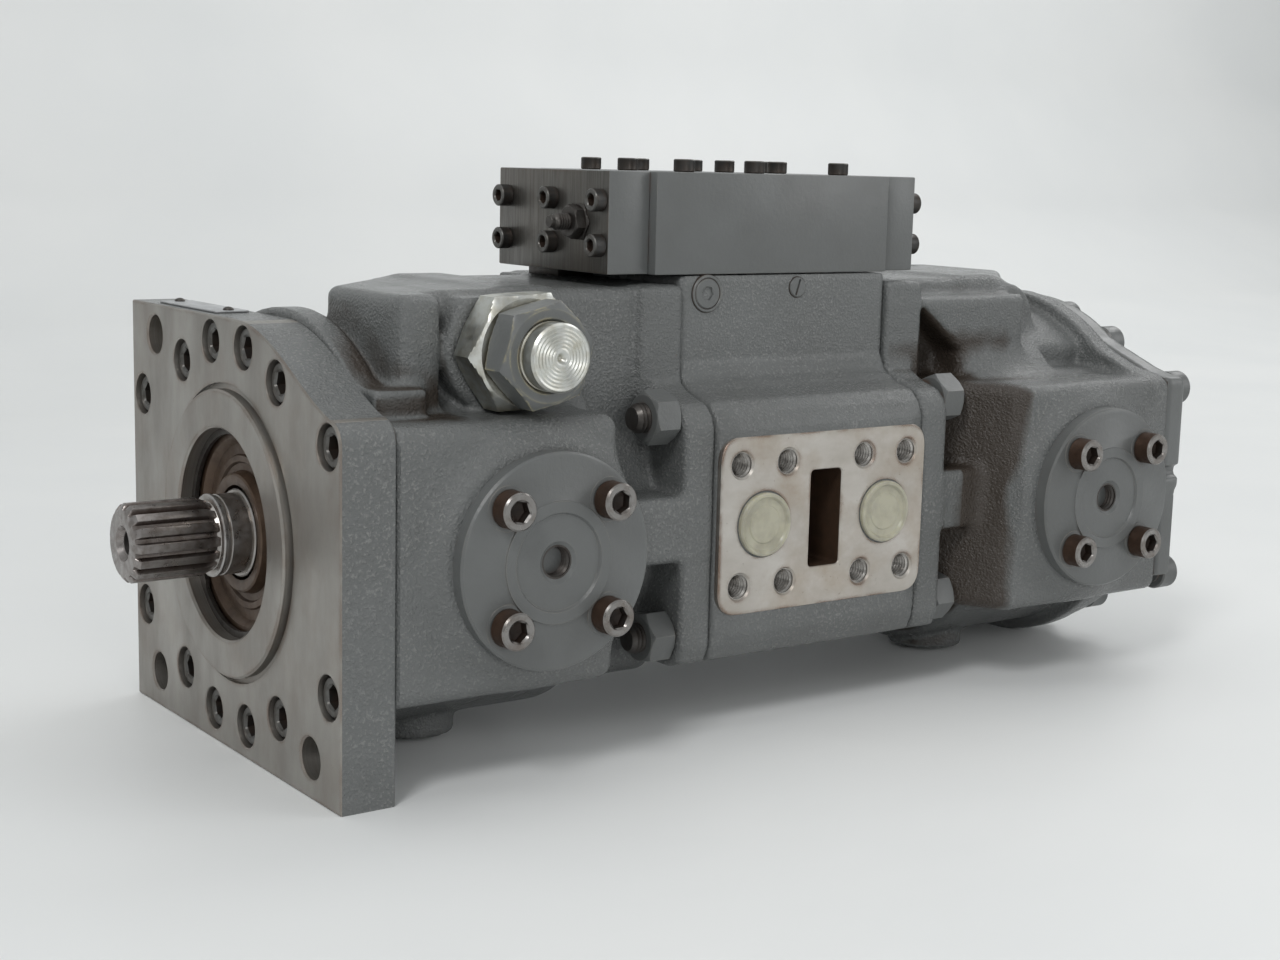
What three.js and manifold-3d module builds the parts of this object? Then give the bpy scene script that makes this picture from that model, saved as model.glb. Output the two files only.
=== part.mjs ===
// Tandem swash-plate axial piston pump: two seven-piston rotating groups on one shaft line, one on
// each side of a common valve block, with a mounting flange at the drive end and a regulator on top.
//
// Millimetres, +Z up. Inside the pump group x = 0 is the face of the mounting flange, x grows
// towards the rear and the shaft runs along x at y = z = 0. The delivery ports face -y. The pump
// group is then moved so that the origin lies under the middle of the pump, on the resting plane.
import * as THREE from 'three';
import { mergeVertices } from 'three/addons/utils/BufferGeometryUtils.js';
import Module from 'manifold-3d';

const wasm = await Module();
wasm.setup();

// ---------------------------------------------------------------- driving dimensions

const GAP = 0.3; // clearance between pieces that touch
const SHAFT_HEIGHT = 97.5; // shaft axis above the resting plane
const FINE = 28; // sides of a large round
const MEDIUM = 20;
const COARSE = 14;
const SMALL = 8; // sides of a screw head or a tapped hole

const FLANGE = {
  thickness: 24.9,
  halfWidth: 108,
  top: 94.6,
  holePitch: 80.5, // mounting holes, from the shaft axis along y and z
  holeRadius: 9,
  boreRadius: 46.7,
  seatRadius: 36,
  seatX: 12,
};
const PILOT = { radius: 63.5, height: 3.5 };
const SEAL_COVER = { back: 11.7, face: 5, lip: 3.5, recess: 7.5, innerRadius: 20 };
const FLANGE_SCREWS = [
  [17, 83],
  [49.2, 71.5],
  [96.5, 51],
]; // one quadrant of the flange screws, as y and z
const COUNTERBORE = { radius: 10, depth: 13 };
const FLANGE_SCREW = { radius: 8.6, top: 2.5, socketRadius: 4.6, socketDepth: 5 };
const NAME_PLATE = { front: 4.5, rear: 20.5, near: 21, far: 85, thickness: 1 };

const BLOCK = { front: 198.6, rear: 327.0, halfWidth: 91.4, columnHalfWidth: 60, top: 113.4 };
const MIDDLE_X = (BLOCK.front + BLOCK.rear) / 2; // the two pumps face each other about this plane
const PORT = { pitchX: 75, radius: 12.5, depth: 32, mouthRadius: 15.6, mouthDepth: 1 };
const PORT_BOLTS = { x: 27.5, z: 57.2, radius: 5.1, depth: 22 };
const PORT_PAD = { halfLength: 63.4, halfHeight: 42, corner: 12, height: 3.2 };
const SLOT = { width: 19.1, height: 46.8, depth: 30 };
const SUCTION = { z: -8, radius: 31.5, depth: 28 }; // its pad is as large as the delivery pad
const SUCTION_BOLTS = { x: 88.9, z: 50.8, radius: 5.1, depth: 20 };
const CAP = { radius: 15, proud: 2.2, reach: 12, wall: 2 };
const COLUMN_PLUGS = [
  { dx: -48.5, z: 105, radius: 8.6, proud: 1 },
  { dx: 6.4, z: 107.1, radius: 4.8, proud: 0.9 },
];

const CASE = {
  front: FLANGE.thickness + GAP,
  rear: BLOCK.front - GAP,
  cavityRadius: 58,
  cavityFront: 38,
  rimRadius: 95.5,
  rimHalfHeight: 58,
  rimDepth: 13,
  top: 108.5,
  sideHalfWidth: 109,
};
const RIM_FRONT = 180; // front face of the rim that is bolted to the valve block
const SIDE_COVER = { x: 93.4, radius: 46.4, seatY: 111.7, faceY: 121.6, screwOffset: 24.8 };
const COVER_SCREW = { radius: 8, height: 10, socketRadius: 4.3, socketDepth: 5 };
const JACKING_HOLE = { radius: 6.2, depth: 7 };
const FOOT_RADIUS = 20;
const FRONT_FOOT = { x: 81, y: -18 };
const REAR_FOOT = { x: 116.5, y: 16 }; // measured as in the front pump
const REAR_COVER = { seam: 37.7, outer: 24.9 }; // x measured as in the front pump
const REAR_SCREW = { radius: 9, height: 12 };
const BARREL = { radius: 92, end: 136 };
const STOP_BLOCK = {
  top: 108,
  plan: [[42, -77.5], [130, -77.5], [130, 42], [85, 42], [42, -12]],
}; // carries the displacement stop; its plan is in x and y
const TIE_BOLTS = [[77, 51]]; // one quadrant, as y and z
const TIE_BOLT = { nutFlats: 22, nutFront: 167, studFront: 161, radius: 7 };

const TILT_X = 120; // the swash plate tilts about a vertical line here, through the ball centres
const PISTONS = 7;
const BORE_CIRCLE = 34; // radius of the bore circle in the cylinder block
const BALL_CIRCLE = 34.55; // radius of the ball circle, a little larger so that both tilts share the error
const BALL_RADIUS = 7.2;
const PISTON_RADIUS = 10.2;
const PISTON_LENGTH = 54; // from the ball centre
const SWASH = { face: 110, diskBack: 98, radius: 51, cradle: 50, slotHalfHeight: 26, hole: 24 };
const SHOE = { baseRadius: 13, baseHeight: 1.7, radius: 10.5, socketRadius: 8.7, rim: 2.5 };
const RETAINER = { lift: 2.3, thickness: 2.5, radius: 49, hole: 20, shoeHole: 11.3 };
const SERVO = { x: SIDE_COVER.x, z: 85, radius: 16, halfLength: 38 };
const SERVO_PIN = { radius: 5, top: 92, play: 0.6 };
const SERVO_ARM = { front: 88, rear: 104, halfWidth: 6, bottom: 45, top: 64 };
const STOP = { inner: -46, bossFace: -78, hexEnd: -96, nutEnd: -113, end: -121.6 };
const STOP_SIZE = { rodRadius: 14, threadRadius: 14.7, bodyFlats: 48, nutFlats: 41, bossRadius: 30 };

const SHAFT = {
  end: -47.6,
  splineRadius: 17.2,
  splineRoot: 15.1,
  splineEnd: -9,
  teeth: 15,
  collarRadius: 18,
  journalRadius: 19.5,
  journalEnd: 60,
  waistStart: 195,
  waistRadius: 14, // where the coupling grips both shafts
};
const SHAFT_CENTRE_HOLE = { radius: 5.2, mouthRadius: 7.6, depth: 24 };
const REAR_JOURNAL = { start: 466, end: 492, radius: 18 };
const COUPLING = { halfLength: 30, radius: 22 };
const ROTOR = { front: 137, rear: 189, radius: 50, boreRadius: 11.4, boreEnd: 184, portRadius: 5.5 };
const ROTOR_SHAFT_RADIUS = 16.5;
const VALVE_PLATE = { radius: 48, kidneyInner: 27, kidneyOuter: 41, kidneyHalfAngle: 1.08, kidneyDepth: 6 };

const REGULATOR = { front: 184, rear: 327, near: -60, far: 40, bottom: 113.9, top: 160.9 };
const REGULATOR_COVER = { front: 160.8, rear: 349, near: -55, far: 39 };
const REGULATOR_SCREW = { radius: 5, height: 6, inset: 8, zInset: 11 };
const REGULATOR_TOP_SCREWS = [
  [205, 25], [238, 30], [272, 30], [318, 30], [204, -8], [263, -8], [297, -8],
  [208, -48], [250, -48], [303, -48],
]; // x and y
const ADJUSTER = { y: -31, z: 137.2, nutRadius: 8, nutHeight: 5, screwRadius: 4, length: 16.5 };

const REAR_END = 2 * MIDDLE_X - REAR_COVER.outer + REAR_SCREW.height;
const ORIGIN_X = (SHAFT.end + REAR_END) / 2;

// ---------------------------------------------------------------- materials

const PAINT = { color: 0x62686a, roughness: 0.42, metalness: 0.1 };
const BARE_STEEL = { color: 0x8f8880, roughness: 0.4, metalness: 0.9 };
const BRIGHT_ZINC = { color: 0xc9cbc6, roughness: 0.28, metalness: 1.0 };
const DARK_STEEL = { color: 0x4e4c49, roughness: 0.45, metalness: 0.7 };
const GROUND_STEEL = { color: 0xa9a9a6, roughness: 0.25, metalness: 1.0 };
const BRONZE = { color: 0xa67c45, roughness: 0.35, metalness: 1.0 };
const SEAL_BROWN = { color: 0x4a3425, roughness: 0.6, metalness: 0.0 };
const CAP_PLASTIC = { color: 0xb9b39a, roughness: 0.35, metalness: 0.0 };

// ---------------------------------------------------------------- solids

// Turns a closed three.js geometry into a solid whose faces point out.
function solid(geometry) {
  geometry.deleteAttribute('normal');
  geometry.deleteAttribute('uv');
  const merged = mergeVertices(geometry, 1e-4);
  const corners = merged.attributes.position.array;
  const triangles = [];
  let volume = 0;
  const at = (i) => new THREE.Vector3().fromArray(corners, 3 * i);
  for (let k = 0; k < merged.index.count; k += 3) {
    const [a, b, c] = [0, 1, 2].map((n) => merged.index.getX(k + n));
    if (a === b || b === c || c === a) continue;
    triangles.push([a, b, c]);
    volume += at(a).dot(at(b).cross(at(c)));
  }
  const outward = volume > 0 ? triangles : triangles.map(([a, b, c]) => [a, c, b]);
  const mesh = new wasm.Mesh({
    numProp: 3,
    vertProperties: new Float32Array(corners),
    triVerts: new Uint32Array(outward.flat()),
  });
  return new wasm.Manifold(mesh);
}

function placed(geometry, xAxis, yAxis, zAxis, origin) {
  const axes = new THREE.Matrix4().makeBasis(
    new THREE.Vector3(...xAxis),
    new THREE.Vector3(...yAxis),
    new THREE.Vector3(...zAxis),
  );
  return solid(geometry.applyMatrix4(axes.setPosition(...origin)));
}

const box = (x0, x1, y0, y1, z0, z1) =>
  solid(
    new THREE.BoxGeometry(x1 - x0, y1 - y0, z1 - z0).translate(
      (x0 + x1) / 2,
      (y0 + y1) / 2,
      (z0 + z1) / 2,
    ),
  );

// A shape drawn in y and z, extruded along x.
const extrudedX = (shape, x0, x1, curveSegments = 8) =>
  placed(
    new THREE.ExtrudeGeometry(shape, { depth: x1 - x0, bevelEnabled: false, curveSegments }),
    [0, 1, 0],
    [0, 0, 1],
    [1, 0, 0],
    [x0, 0, 0],
  );

// A shape drawn in x and z, extruded along y.
const extrudedY = (shape, y0, y1, curveSegments = 4) =>
  placed(
    new THREE.ExtrudeGeometry(shape, { depth: y1 - y0, bevelEnabled: false, curveSegments }),
    [1, 0, 0],
    [0, 0, 1],
    [0, -1, 0],
    [0, y1, 0],
  );

// A shape drawn in x and y, extruded along z.
const extrudedZ = (shape, z0, z1) =>
  solid(new THREE.ExtrudeGeometry(shape, { depth: z1 - z0, bevelEnabled: false }).translate(0, 0, z0));

// A closed outline of [x, radius] points, turned about the shaft axis.
const turned = (outline, segments = MEDIUM) =>
  placed(
    new THREE.LatheGeometry(
      [...outline, outline[0]].map(([x, r]) => new THREE.Vector2(r, x)),
      segments,
    ),
    [0, 0, 1],
    [1, 0, 0],
    [0, 1, 0],
    [0, 0, 0],
  );

const rodX = (x0, x1, radius, y = 0, z = 0, segments = MEDIUM) =>
  turned([[x0, 0], [x0, radius], [x1, radius], [x1, 0]], segments).translate([0, y, z]);

const rodY = (y0, y1, radius, x, z, segments = MEDIUM) =>
  rodX(y0, y1, radius, 0, 0, segments).rotate([0, 0, 90]).translate([x, 0, z]);

const rodZ = (z0, z1, radius, x, y, segments = MEDIUM) =>
  rodX(z0, z1, radius, 0, 0, segments).rotate([0, -90, 0]).translate([x, y, 0]);

const hexY = (y0, y1, acrossFlats, x, z) =>
  rodY(y0, y1, acrossFlats / Math.sqrt(3), x, z, 6);

const join = (...solids) => solids.reduce((whole, next) => whole.add(next));
const cut = (whole, ...tools) => tools.reduce((left, tool) => left.subtract(tool), whole);

function outline(points) {
  return new THREE.Shape(points.map(([a, b]) => new THREE.Vector2(a, b)));
}

function roundedRectangle(a0, a1, b0, b1, radius) {
  const shape = new THREE.Shape();
  shape.absarc(a1 - radius, b1 - radius, radius, 0, Math.PI / 2);
  shape.absarc(a0 + radius, b1 - radius, radius, Math.PI / 2, Math.PI);
  shape.absarc(a0 + radius, b0 + radius, radius, Math.PI, 1.5 * Math.PI);
  shape.absarc(a1 - radius, b0 + radius, radius, 1.5 * Math.PI, 2 * Math.PI);
  return shape;
}

// Every sign of a pattern given for one quadrant.
const quadrants = (pattern) =>
  pattern.flatMap(([a, b]) => [[a, b], [-a, b], [a, -b], [-a, -b]]);

const grid = (as, bs) => as.flatMap((a) => bs.map((b) => [a, b]));

// ---------------------------------------------------------------- scene graph

const pump = new THREE.Group();
const frontPump = new THREE.Group();
const rearPump = new THREE.Group();
pump.position.set(-ORIGIN_X, 0, SHAFT_HEIGHT);
rearPump.position.set(2 * MIDDLE_X, 0, 0);
rearPump.rotation.z = Math.PI;
pump.add(frontPump, rearPump);

function addPiece(parent, name, body, finish) {
  const { vertProperties, triVerts } = body.getMesh();
  const geometry = new THREE.BufferGeometry();
  geometry.setAttribute('position', new THREE.BufferAttribute(vertProperties, 3));
  geometry.setIndex(new THREE.BufferAttribute(triVerts, 1));
  geometry.computeVertexNormals();
  const mesh = new THREE.Mesh(geometry, new THREE.MeshStandardMaterial(finish));
  mesh.name = name;
  parent.add(mesh);
}

// ---------------------------------------------------------------- mounting flange

// Three square corners; the fourth is swept away to clear the machine, with an ear for its screw.
function flangeOutline() {
  const { halfWidth, top } = FLANGE;
  const ear = 10;
  const earTop = 62;
  const shape = new THREE.Shape();
  shape.moveTo(halfWidth, -SHAFT_HEIGHT);
  shape.lineTo(halfWidth, top);
  shape.lineTo(-8, top);
  shape.bezierCurveTo(-45, top, -70, 70, ear - halfWidth, earTop);
  shape.absarc(ear - halfWidth, earTop - ear, ear, Math.PI / 2, Math.PI);
  shape.lineTo(-halfWidth, -SHAFT_HEIGHT);
  return shape;
}

function mountingFlange() {
  const { holePitch, holeRadius, boreRadius, seatRadius, seatX, thickness } = FLANGE;
  const plate = extrudedX(flangeOutline(), 0, thickness);
  const pilot = rodX(-PILOT.height, 1, PILOT.radius, 0, 0, FINE);
  const bore = rodX(-PILOT.height - 1, seatX, boreRadius, 0, 0, FINE);
  const seat = rodX(seatX - 1, thickness + 1, seatRadius, 0, 0, FINE);
  const mountingHoles = [[1, 1], [1, -1], [-1, -1]].map(([sy, sz]) =>
    rodX(-1, thickness + 1, holeRadius, sy * holePitch, sz * holePitch, COARSE),
  );
  const counterbores = quadrants(FLANGE_SCREWS).map(([y, z]) =>
    rodX(-1, COUNTERBORE.depth, COUNTERBORE.radius, y, z, SMALL),
  );
  const { front, rear, near, far, thickness: namePlate } = NAME_PLATE;
  return join(
    cut(plate.add(pilot), bore, seat, ...mountingHoles, ...counterbores),
    box(front, rear, near, far, FLANGE.top - 1, FLANGE.top + namePlate),
    ...quadrants(FLANGE_SCREWS).map(flangeScrewHead),
  );
}

function flangeScrewHead([y, z]) {
  const { radius, top, socketRadius, socketDepth } = FLANGE_SCREW;
  return cut(
    rodX(top, COUNTERBORE.depth + 1, radius, y, z, SMALL),
    rodX(top - 1, top + socketDepth, socketRadius, y, z, 6),
  );
}

function sealCover() {
  const { back, face, lip, recess, innerRadius } = SEAL_COVER;
  const outer = FLANGE.boreRadius - GAP;
  const lipRadius = innerRadius + 6;
  const recessRadius = outer - 8;
  return turned(
    [
      [back, innerRadius], [back, outer], [face, outer], [face, recessRadius + 2],
      [recess, recessRadius], [recess, lipRadius + 1], [lip, lipRadius], [lip, innerRadius],
    ],
    FINE,
  );
}

// ---------------------------------------------------------------- pump cases

function caseCore(frontX, foot) {
  const side = extrudedY(
    roundedRectangle(frontX, 131, -60, 58.5, 14),
    -CASE.sideHalfWidth,
    CASE.sideHalfWidth,
  );
  const neck = outline([
    [-64, -77], [64, -77], [64, 96], [52, CASE.top], [-52, CASE.top], [-64, 96],
  ]);
  const rim = blockOutline(CASE.top);
  const { x, seatY } = SIDE_COVER;
  return join(
    side,
    rodX(frontX, BARREL.end, BARREL.radius, 0, 0, FINE),
    extrudedZ(outline(STOP_BLOCK.plan), 0, STOP_BLOCK.top),
    extrudedX(neck, 100, RIM_FRONT + 2),
    extrudedX(rim, RIM_FRONT, CASE.rear),
    rodY(-seatY, seatY, 55, x, 0, FINE),
    rodY(STOP.bossFace, 62, STOP_SIZE.bossRadius, SERVO.x, SERVO.z),
    rodZ(-SHAFT_HEIGHT, -60, FOOT_RADIUS, foot.x, foot.y, COARSE),
    ...quadrants(TIE_BOLTS).map(tieBolt),
  );
}

// The nut and stud end of a bolt that clamps the case to the valve block.
function tieBolt([y, z]) {
  const { nutFlats, nutFront, studFront, radius } = TIE_BOLT;
  return join(
    rodX(nutFront, RIM_FRONT + 1, nutFlats / Math.sqrt(3), y, z, 6),
    rodX(studFront, RIM_FRONT + 1, radius, y, z, SMALL),
  );
}

function caseHollows(frontX) {
  const sidePort = 34;
  return [
    rodX(CASE.cavityFront, CASE.rear + 1, CASE.cavityRadius, 0, 0, FINE),
    rodX(frontX - 1, CASE.cavityFront + 1, 40),
    rodY(-SIDE_COVER.seatY - 1, SIDE_COVER.seatY + 1, sidePort, SIDE_COVER.x, 0),
    rodY(STOP.bossFace - 1, 56, SERVO.radius + 0.5, SERVO.x, SERVO.z),
    box(78, 108, -17, 17, 50, 72),
  ];
}

// The rim of a case's outer end: round above and below, with straight sides.
function caseRim(x0, x1) {
  const { rimRadius, rimHalfHeight, sideHalfWidth } = CASE;
  return rodX(x0, x1, rimRadius, 0, 0, FINE).add(
    box(x0, x1, -sideHalfWidth, sideHalfWidth, -rimHalfHeight, rimHalfHeight),
  );
}

// The two cases are alike, apart from their feet, and each starts at its own outer end.
function housing(outerX, foot) {
  const body = join(caseCore(outerX, foot), caseRim(outerX, outerX + CASE.rimDepth));
  return cut(body, ...caseHollows(outerX));
}

function rearEndCover() {
  const { outer, seam } = REAR_COVER;
  const heads = quadrants(FLANGE_SCREWS).map(([y, z]) =>
    rodX(outer - REAR_SCREW.height, outer + 1, REAR_SCREW.radius, y, z, SMALL),
  );
  const bearingSeat = rodX(outer + 5, seam, 30);
  return cut(join(caseRim(outer, seam - GAP), ...heads), bearingSeat);
}

// A round cover with its four socket screws, made for the -y side.
function sideCover() {
  const { x, radius, seatY, faceY, screwOffset } = SIDE_COVER;
  const heads = quadrants([[screwOffset, screwOffset]]).map(([dx, dz]) =>
    rodY(-faceY - COVER_SCREW.height, -faceY + 1, COVER_SCREW.radius, x + dx, dz, SMALL),
  );
  const sockets = quadrants([[screwOffset, screwOffset]]).map(([dx, dz]) =>
    rodY(
      -faceY - COVER_SCREW.height - 1,
      -faceY - COVER_SCREW.height + COVER_SCREW.socketDepth,
      COVER_SCREW.socketRadius,
      x + dx,
      dz,
      6,
    ),
  );
  const disk = rodY(-faceY, -seatY - GAP, radius, x, 0, FINE);
  const jackingHole = rodY(-faceY - 2, -faceY + JACKING_HOLE.depth, JACKING_HOLE.radius, x, 0, SMALL);
  return cut(join(disk, ...heads), ...sockets, jackingHole);
}

// ---------------------------------------------------------------- valve block

// Wide below, with a narrower column above.
function blockOutline(top) {
  const { halfWidth: w, columnHalfWidth: c } = BLOCK;
  const half = [
    [w - 8, -72], [w, -62], [w, 46], [w - 2, 52], [w - 7, 57],
    [c + 12, 60.5], [c + 4, 65], [c, 73], [c, top],
  ];
  const mirrored = half.map(([y, z]) => [-y, z]).reverse();
  return outline([...half, ...mirrored]);
}

// The plate that a cylinder block turns against, with its two kidney ports.
function valvePlate() {
  const { radius, kidneyInner, kidneyOuter, kidneyHalfAngle: half, kidneyDepth } = VALVE_PLATE;
  const plate = rodX(ROTOR.rear + GAP, BLOCK.front + 1, radius, 0, 0, FINE);
  const kidneys = [0, Math.PI].map((turn) => {
    const shape = new THREE.Shape();
    shape.absarc(0, 0, kidneyOuter, turn - half, turn + half);
    shape.absarc(0, 0, kidneyInner, turn + half, turn - half, true);
    return extrudedX(shape, ROTOR.rear, ROTOR.rear + kidneyDepth);
  });
  return cut(plate, ...kidneys);
}

function valveBlock() {
  const { front, rear, halfWidth, columnHalfWidth, top } = BLOCK;
  const { halfLength, halfHeight, corner, height } = PORT_PAD;
  const pad = roundedRectangle(
    MIDDLE_X - halfLength, MIDDLE_X + halfLength, -halfHeight, halfHeight, corner,
  );
  const face = halfWidth + height;
  const body = join(
    extrudedX(blockOutline(top), front, rear),
    extrudedY(pad, -face, -halfWidth + 1),
    extrudedY(pad, halfWidth - 1, face).translate([0, 0, SUCTION.z]),
    valvePlate(),
    valvePlate().rotate([0, 0, 180]).translate([2 * MIDDLE_X, 0, 0]),
    ...COLUMN_PLUGS.map(({ dx, z, radius, proud }) =>
      rodY(-columnHalfWidth - proud, 1 - columnHalfWidth, radius, MIDDLE_X + dx, z, COARSE),
    ),
  );
  const portXs = [-PORT.pitchX / 2, PORT.pitchX / 2];
  const ports = portXs.flatMap((dx) => [
    rodY(-face - 1, -face + PORT.depth, PORT.radius, MIDDLE_X + dx, 0, COARSE),
    rodY(-face - 1, -face + PORT.mouthDepth, PORT.mouthRadius, MIDDLE_X + dx, 0),
  ]);
  const portBolts = portXs.flatMap((dx) =>
    quadrants([[PORT_BOLTS.x / 2, PORT_BOLTS.z / 2]]).map(([bx, bz]) =>
      rodY(-face - 1, -face + PORT_BOLTS.depth, PORT_BOLTS.radius, MIDDLE_X + dx + bx, bz, SMALL),
    ),
  );
  const suctionBolts = quadrants([[SUCTION_BOLTS.x / 2, SUCTION_BOLTS.z / 2]]).map(([bx, bz]) =>
    rodY(face - SUCTION_BOLTS.depth, face + 1, SUCTION_BOLTS.radius, MIDDLE_X + bx, SUCTION.z + bz, SMALL),
  );
  const slot = box(
    MIDDLE_X - SLOT.width / 2, MIDDLE_X + SLOT.width / 2,
    -face - 1, -face + SLOT.depth,
    -SLOT.height / 2, SLOT.height / 2,
  );
  return cut(
    body,
    rodX(ROTOR.rear, 2 * MIDDLE_X - ROTOR.rear, 24),
    slot,
    rodY(face - SUCTION.depth, face + 1, SUCTION.radius, MIDDLE_X, SUCTION.z, FINE),
    ...ports,
    ...portBolts,
    ...suctionBolts,
  );
}

// A thin shipping cap that plugs a delivery port, its head seated in the port's mouth.
function portCap(dx) {
  const face = -BLOCK.halfWidth - PORT_PAD.height;
  const seat = face + PORT.mouthDepth - GAP;
  const x = MIDDLE_X + dx;
  return cut(
    join(
      rodY(face - CAP.proud, seat, CAP.radius, x, 0),
      rodY(face, face + CAP.reach, PORT.radius - GAP, x, 0, COARSE),
    ),
    rodY(seat, face + CAP.reach + 1, PORT.radius - CAP.wall, x, 0, COARSE),
  );
}

// ---------------------------------------------------------------- shafts

function splineOutline(rootRadius, tipRadius, teeth) {
  const pitch = (2 * Math.PI) / teeth;
  const tooth = [[-0.34, rootRadius], [-0.18, tipRadius], [0.18, tipRadius], [0.34, rootRadius]];
  const corners = Array.from({ length: teeth }, (_, n) =>
    tooth.map(([part, radius]) => {
      const angle = (n + part) * pitch;
      return [radius * Math.cos(angle), radius * Math.sin(angle)];
    }),
  );
  return outline(corners.flat());
}

function driveShaft() {
  const { end, splineRoot, splineRadius, splineEnd, teeth } = SHAFT;
  const { collarRadius, journalRadius, journalEnd, waistStart, waistRadius } = SHAFT;
  const meeting = MIDDLE_X - 2 * GAP;
  const spline = extrudedX(splineOutline(splineRoot, splineRadius, teeth), end, splineEnd);
  const chamfer = turned(
    [
      [end - 1, splineRoot - 1], [end - 1, splineRadius + 3],
      [end + 2, splineRadius + 3], [end + 2, splineRadius + 0.2],
    ],
    FINE,
  );
  const journal = turned(
    [
      [splineEnd - 3, 0], [splineEnd - 3, splineRoot], [splineEnd + 3, splineRoot],
      [splineEnd + 3, collarRadius], [3, collarRadius], [3, journalRadius],
      [journalEnd, journalRadius], [journalEnd, ROTOR_SHAFT_RADIUS],
      [waistStart, ROTOR_SHAFT_RADIUS], [waistStart, waistRadius], [meeting, waistRadius], [meeting, 0],
    ],
    MEDIUM,
  );
  const { radius, mouthRadius, depth } = SHAFT_CENTRE_HOLE;
  const centreHole = turned(
    [
      [end - 1, 0], [end - 1, mouthRadius], [end + mouthRadius - radius, radius],
      [end + depth, radius], [end + depth + 3, 0],
    ],
    SMALL,
  );
  return cut(join(spline, journal), chamfer, centreHole);
}

function rearShaft() {
  const { waistStart, waistRadius } = SHAFT;
  const { start, end, radius } = REAR_JOURNAL;
  const waistEnd = 2 * MIDDLE_X - waistStart;
  return turned(
    [
      [MIDDLE_X, 0], [MIDDLE_X, waistRadius], [waistEnd, waistRadius], [waistEnd, ROTOR_SHAFT_RADIUS],
      [start, ROTOR_SHAFT_RADIUS], [start, radius], [end, radius], [end, 0],
    ],
    MEDIUM,
  );
}

function shaftCoupling() {
  const inner = SHAFT.waistRadius + GAP;
  const front = MIDDLE_X - COUPLING.halfLength;
  const rear = MIDDLE_X + COUPLING.halfLength;
  return turned([[front, inner], [front, COUPLING.radius], [rear, COUPLING.radius], [rear, inner]]);
}

// ---------------------------------------------------------------- rotating group

const clockPositions = Array.from({ length: PISTONS }, (_, n) => (2 * Math.PI * n) / PISTONS);
const onCircle = (radius, angle) => [0, radius * Math.cos(angle), radius * Math.sin(angle)];

function cylinderBlock() {
  const { front, rear, radius, boreRadius, boreEnd, portRadius } = ROTOR;
  const bores = clockPositions.flatMap((angle) => [
    rodX(front - 1, boreEnd, boreRadius, 0, 0, COARSE).translate(onCircle(BORE_CIRCLE, angle)),
    rodX(boreEnd - 1, rear + 1, portRadius, 0, 0, SMALL).translate(onCircle(BORE_CIRCLE, angle)),
  ]);
  return cut(
    rodX(front, rear, radius, 0, 0, FINE),
    rodX(front - 1, rear + 1, ROTOR_SHAFT_RADIUS + GAP),
    ...bores,
  );
}

// A piston with a ball on a short neck.
function piston(angle) {
  const ball = [-Math.PI / 4, 0, Math.PI / 4].map((a) => [
    TILT_X + BALL_RADIUS * Math.sin(a),
    BALL_RADIUS * Math.cos(a),
  ]);
  const skirt = TILT_X + BALL_RADIUS + 5;
  const end = TILT_X + PISTON_LENGTH;
  return turned(
    [
      [TILT_X - BALL_RADIUS, 0], ...ball, [TILT_X + BALL_RADIUS + 1, 4.5],
      [skirt, PISTON_RADIUS], [end, PISTON_RADIUS], [end, 0],
    ],
    SMALL,
  ).translate(onCircle(BALL_CIRCLE, angle));
}

// The slipper shoe that a piston's ball sits in.
function shoe(angle) {
  const { baseRadius, baseHeight, radius, socketRadius, rim } = SHOE;
  const socket = [Math.asin(rim / socketRadius), -Math.PI / 20, -Math.PI / 4].map((a) => [
    TILT_X + socketRadius * Math.sin(a),
    socketRadius * Math.cos(a),
  ]);
  const back = SWASH.face + GAP;
  return turned(
    [
      [back, 0], [back, baseRadius], [back + baseHeight, baseRadius], [back + baseHeight, radius],
      [TILT_X + rim, radius], ...socket, [TILT_X - socketRadius, 0],
    ],
    SMALL,
  ).translate(onCircle(BALL_CIRCLE, angle));
}

function retainer() {
  const { lift, thickness, radius, hole, shoeHole } = RETAINER;
  const front = SWASH.face + lift;
  const rear = front + thickness;
  const holes = clockPositions.map((angle) =>
    rodX(front - 1, rear + 1, shoeHole, 0, 0, SMALL + 2).translate(onCircle(BALL_CIRCLE, angle)),
  );
  return cut(rodX(front, rear, radius, 0, 0, FINE), rodX(front - 1, rear + 1, hole), ...holes);
}

// A disk on two rockers, above and below the shaft, with an arm and a pin up to the servo piston.
function swashPlate() {
  const { face, diskBack, radius, cradle, slotHalfHeight, hole } = SWASH;
  const arm = SERVO_ARM;
  const rocker = rodZ(-radius, radius, cradle, TILT_X, 0, 2 * MEDIUM);
  const body = rodX(TILT_X - cradle - 1, face, radius, 0, 0, FINE).intersect(rocker);
  return join(
    cut(
      body,
      box(0, diskBack, -radius, radius, -slotHalfHeight, slotHalfHeight),
      rodX(diskBack - 1, face + 1, hole),
    ),
    box(arm.front, arm.rear, -arm.halfWidth, arm.halfWidth, arm.bottom, arm.top),
    rodZ(arm.top - 1, SERVO_PIN.top, SERVO_PIN.radius, SERVO.x, 0, COARSE),
  );
}

// The fixed cradle that the rockers lie in.
function swashSupport() {
  const clear = 0.5;
  return cut(
    rodX(CASE.cavityFront + 1.3, 80, CASE.cavityRadius - 0.6, 0, 0, FINE),
    rodZ(-100, 100, SWASH.cradle + clear, TILT_X, 0, 2 * MEDIUM),
    rodX(CASE.cavityFront, 81, 24),
  );
}

function servoPiston() {
  const { x, z, radius, halfLength } = SERVO;
  const half = SERVO_PIN.radius + SERVO_PIN.play;
  const pinSlot = box(x - half, x + half + 1, -half, half, z - radius - 1, SERVO_PIN.top + 2);
  return cut(rodY(-halfLength, halfLength, radius, x, z), pinSlot);
}

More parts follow.
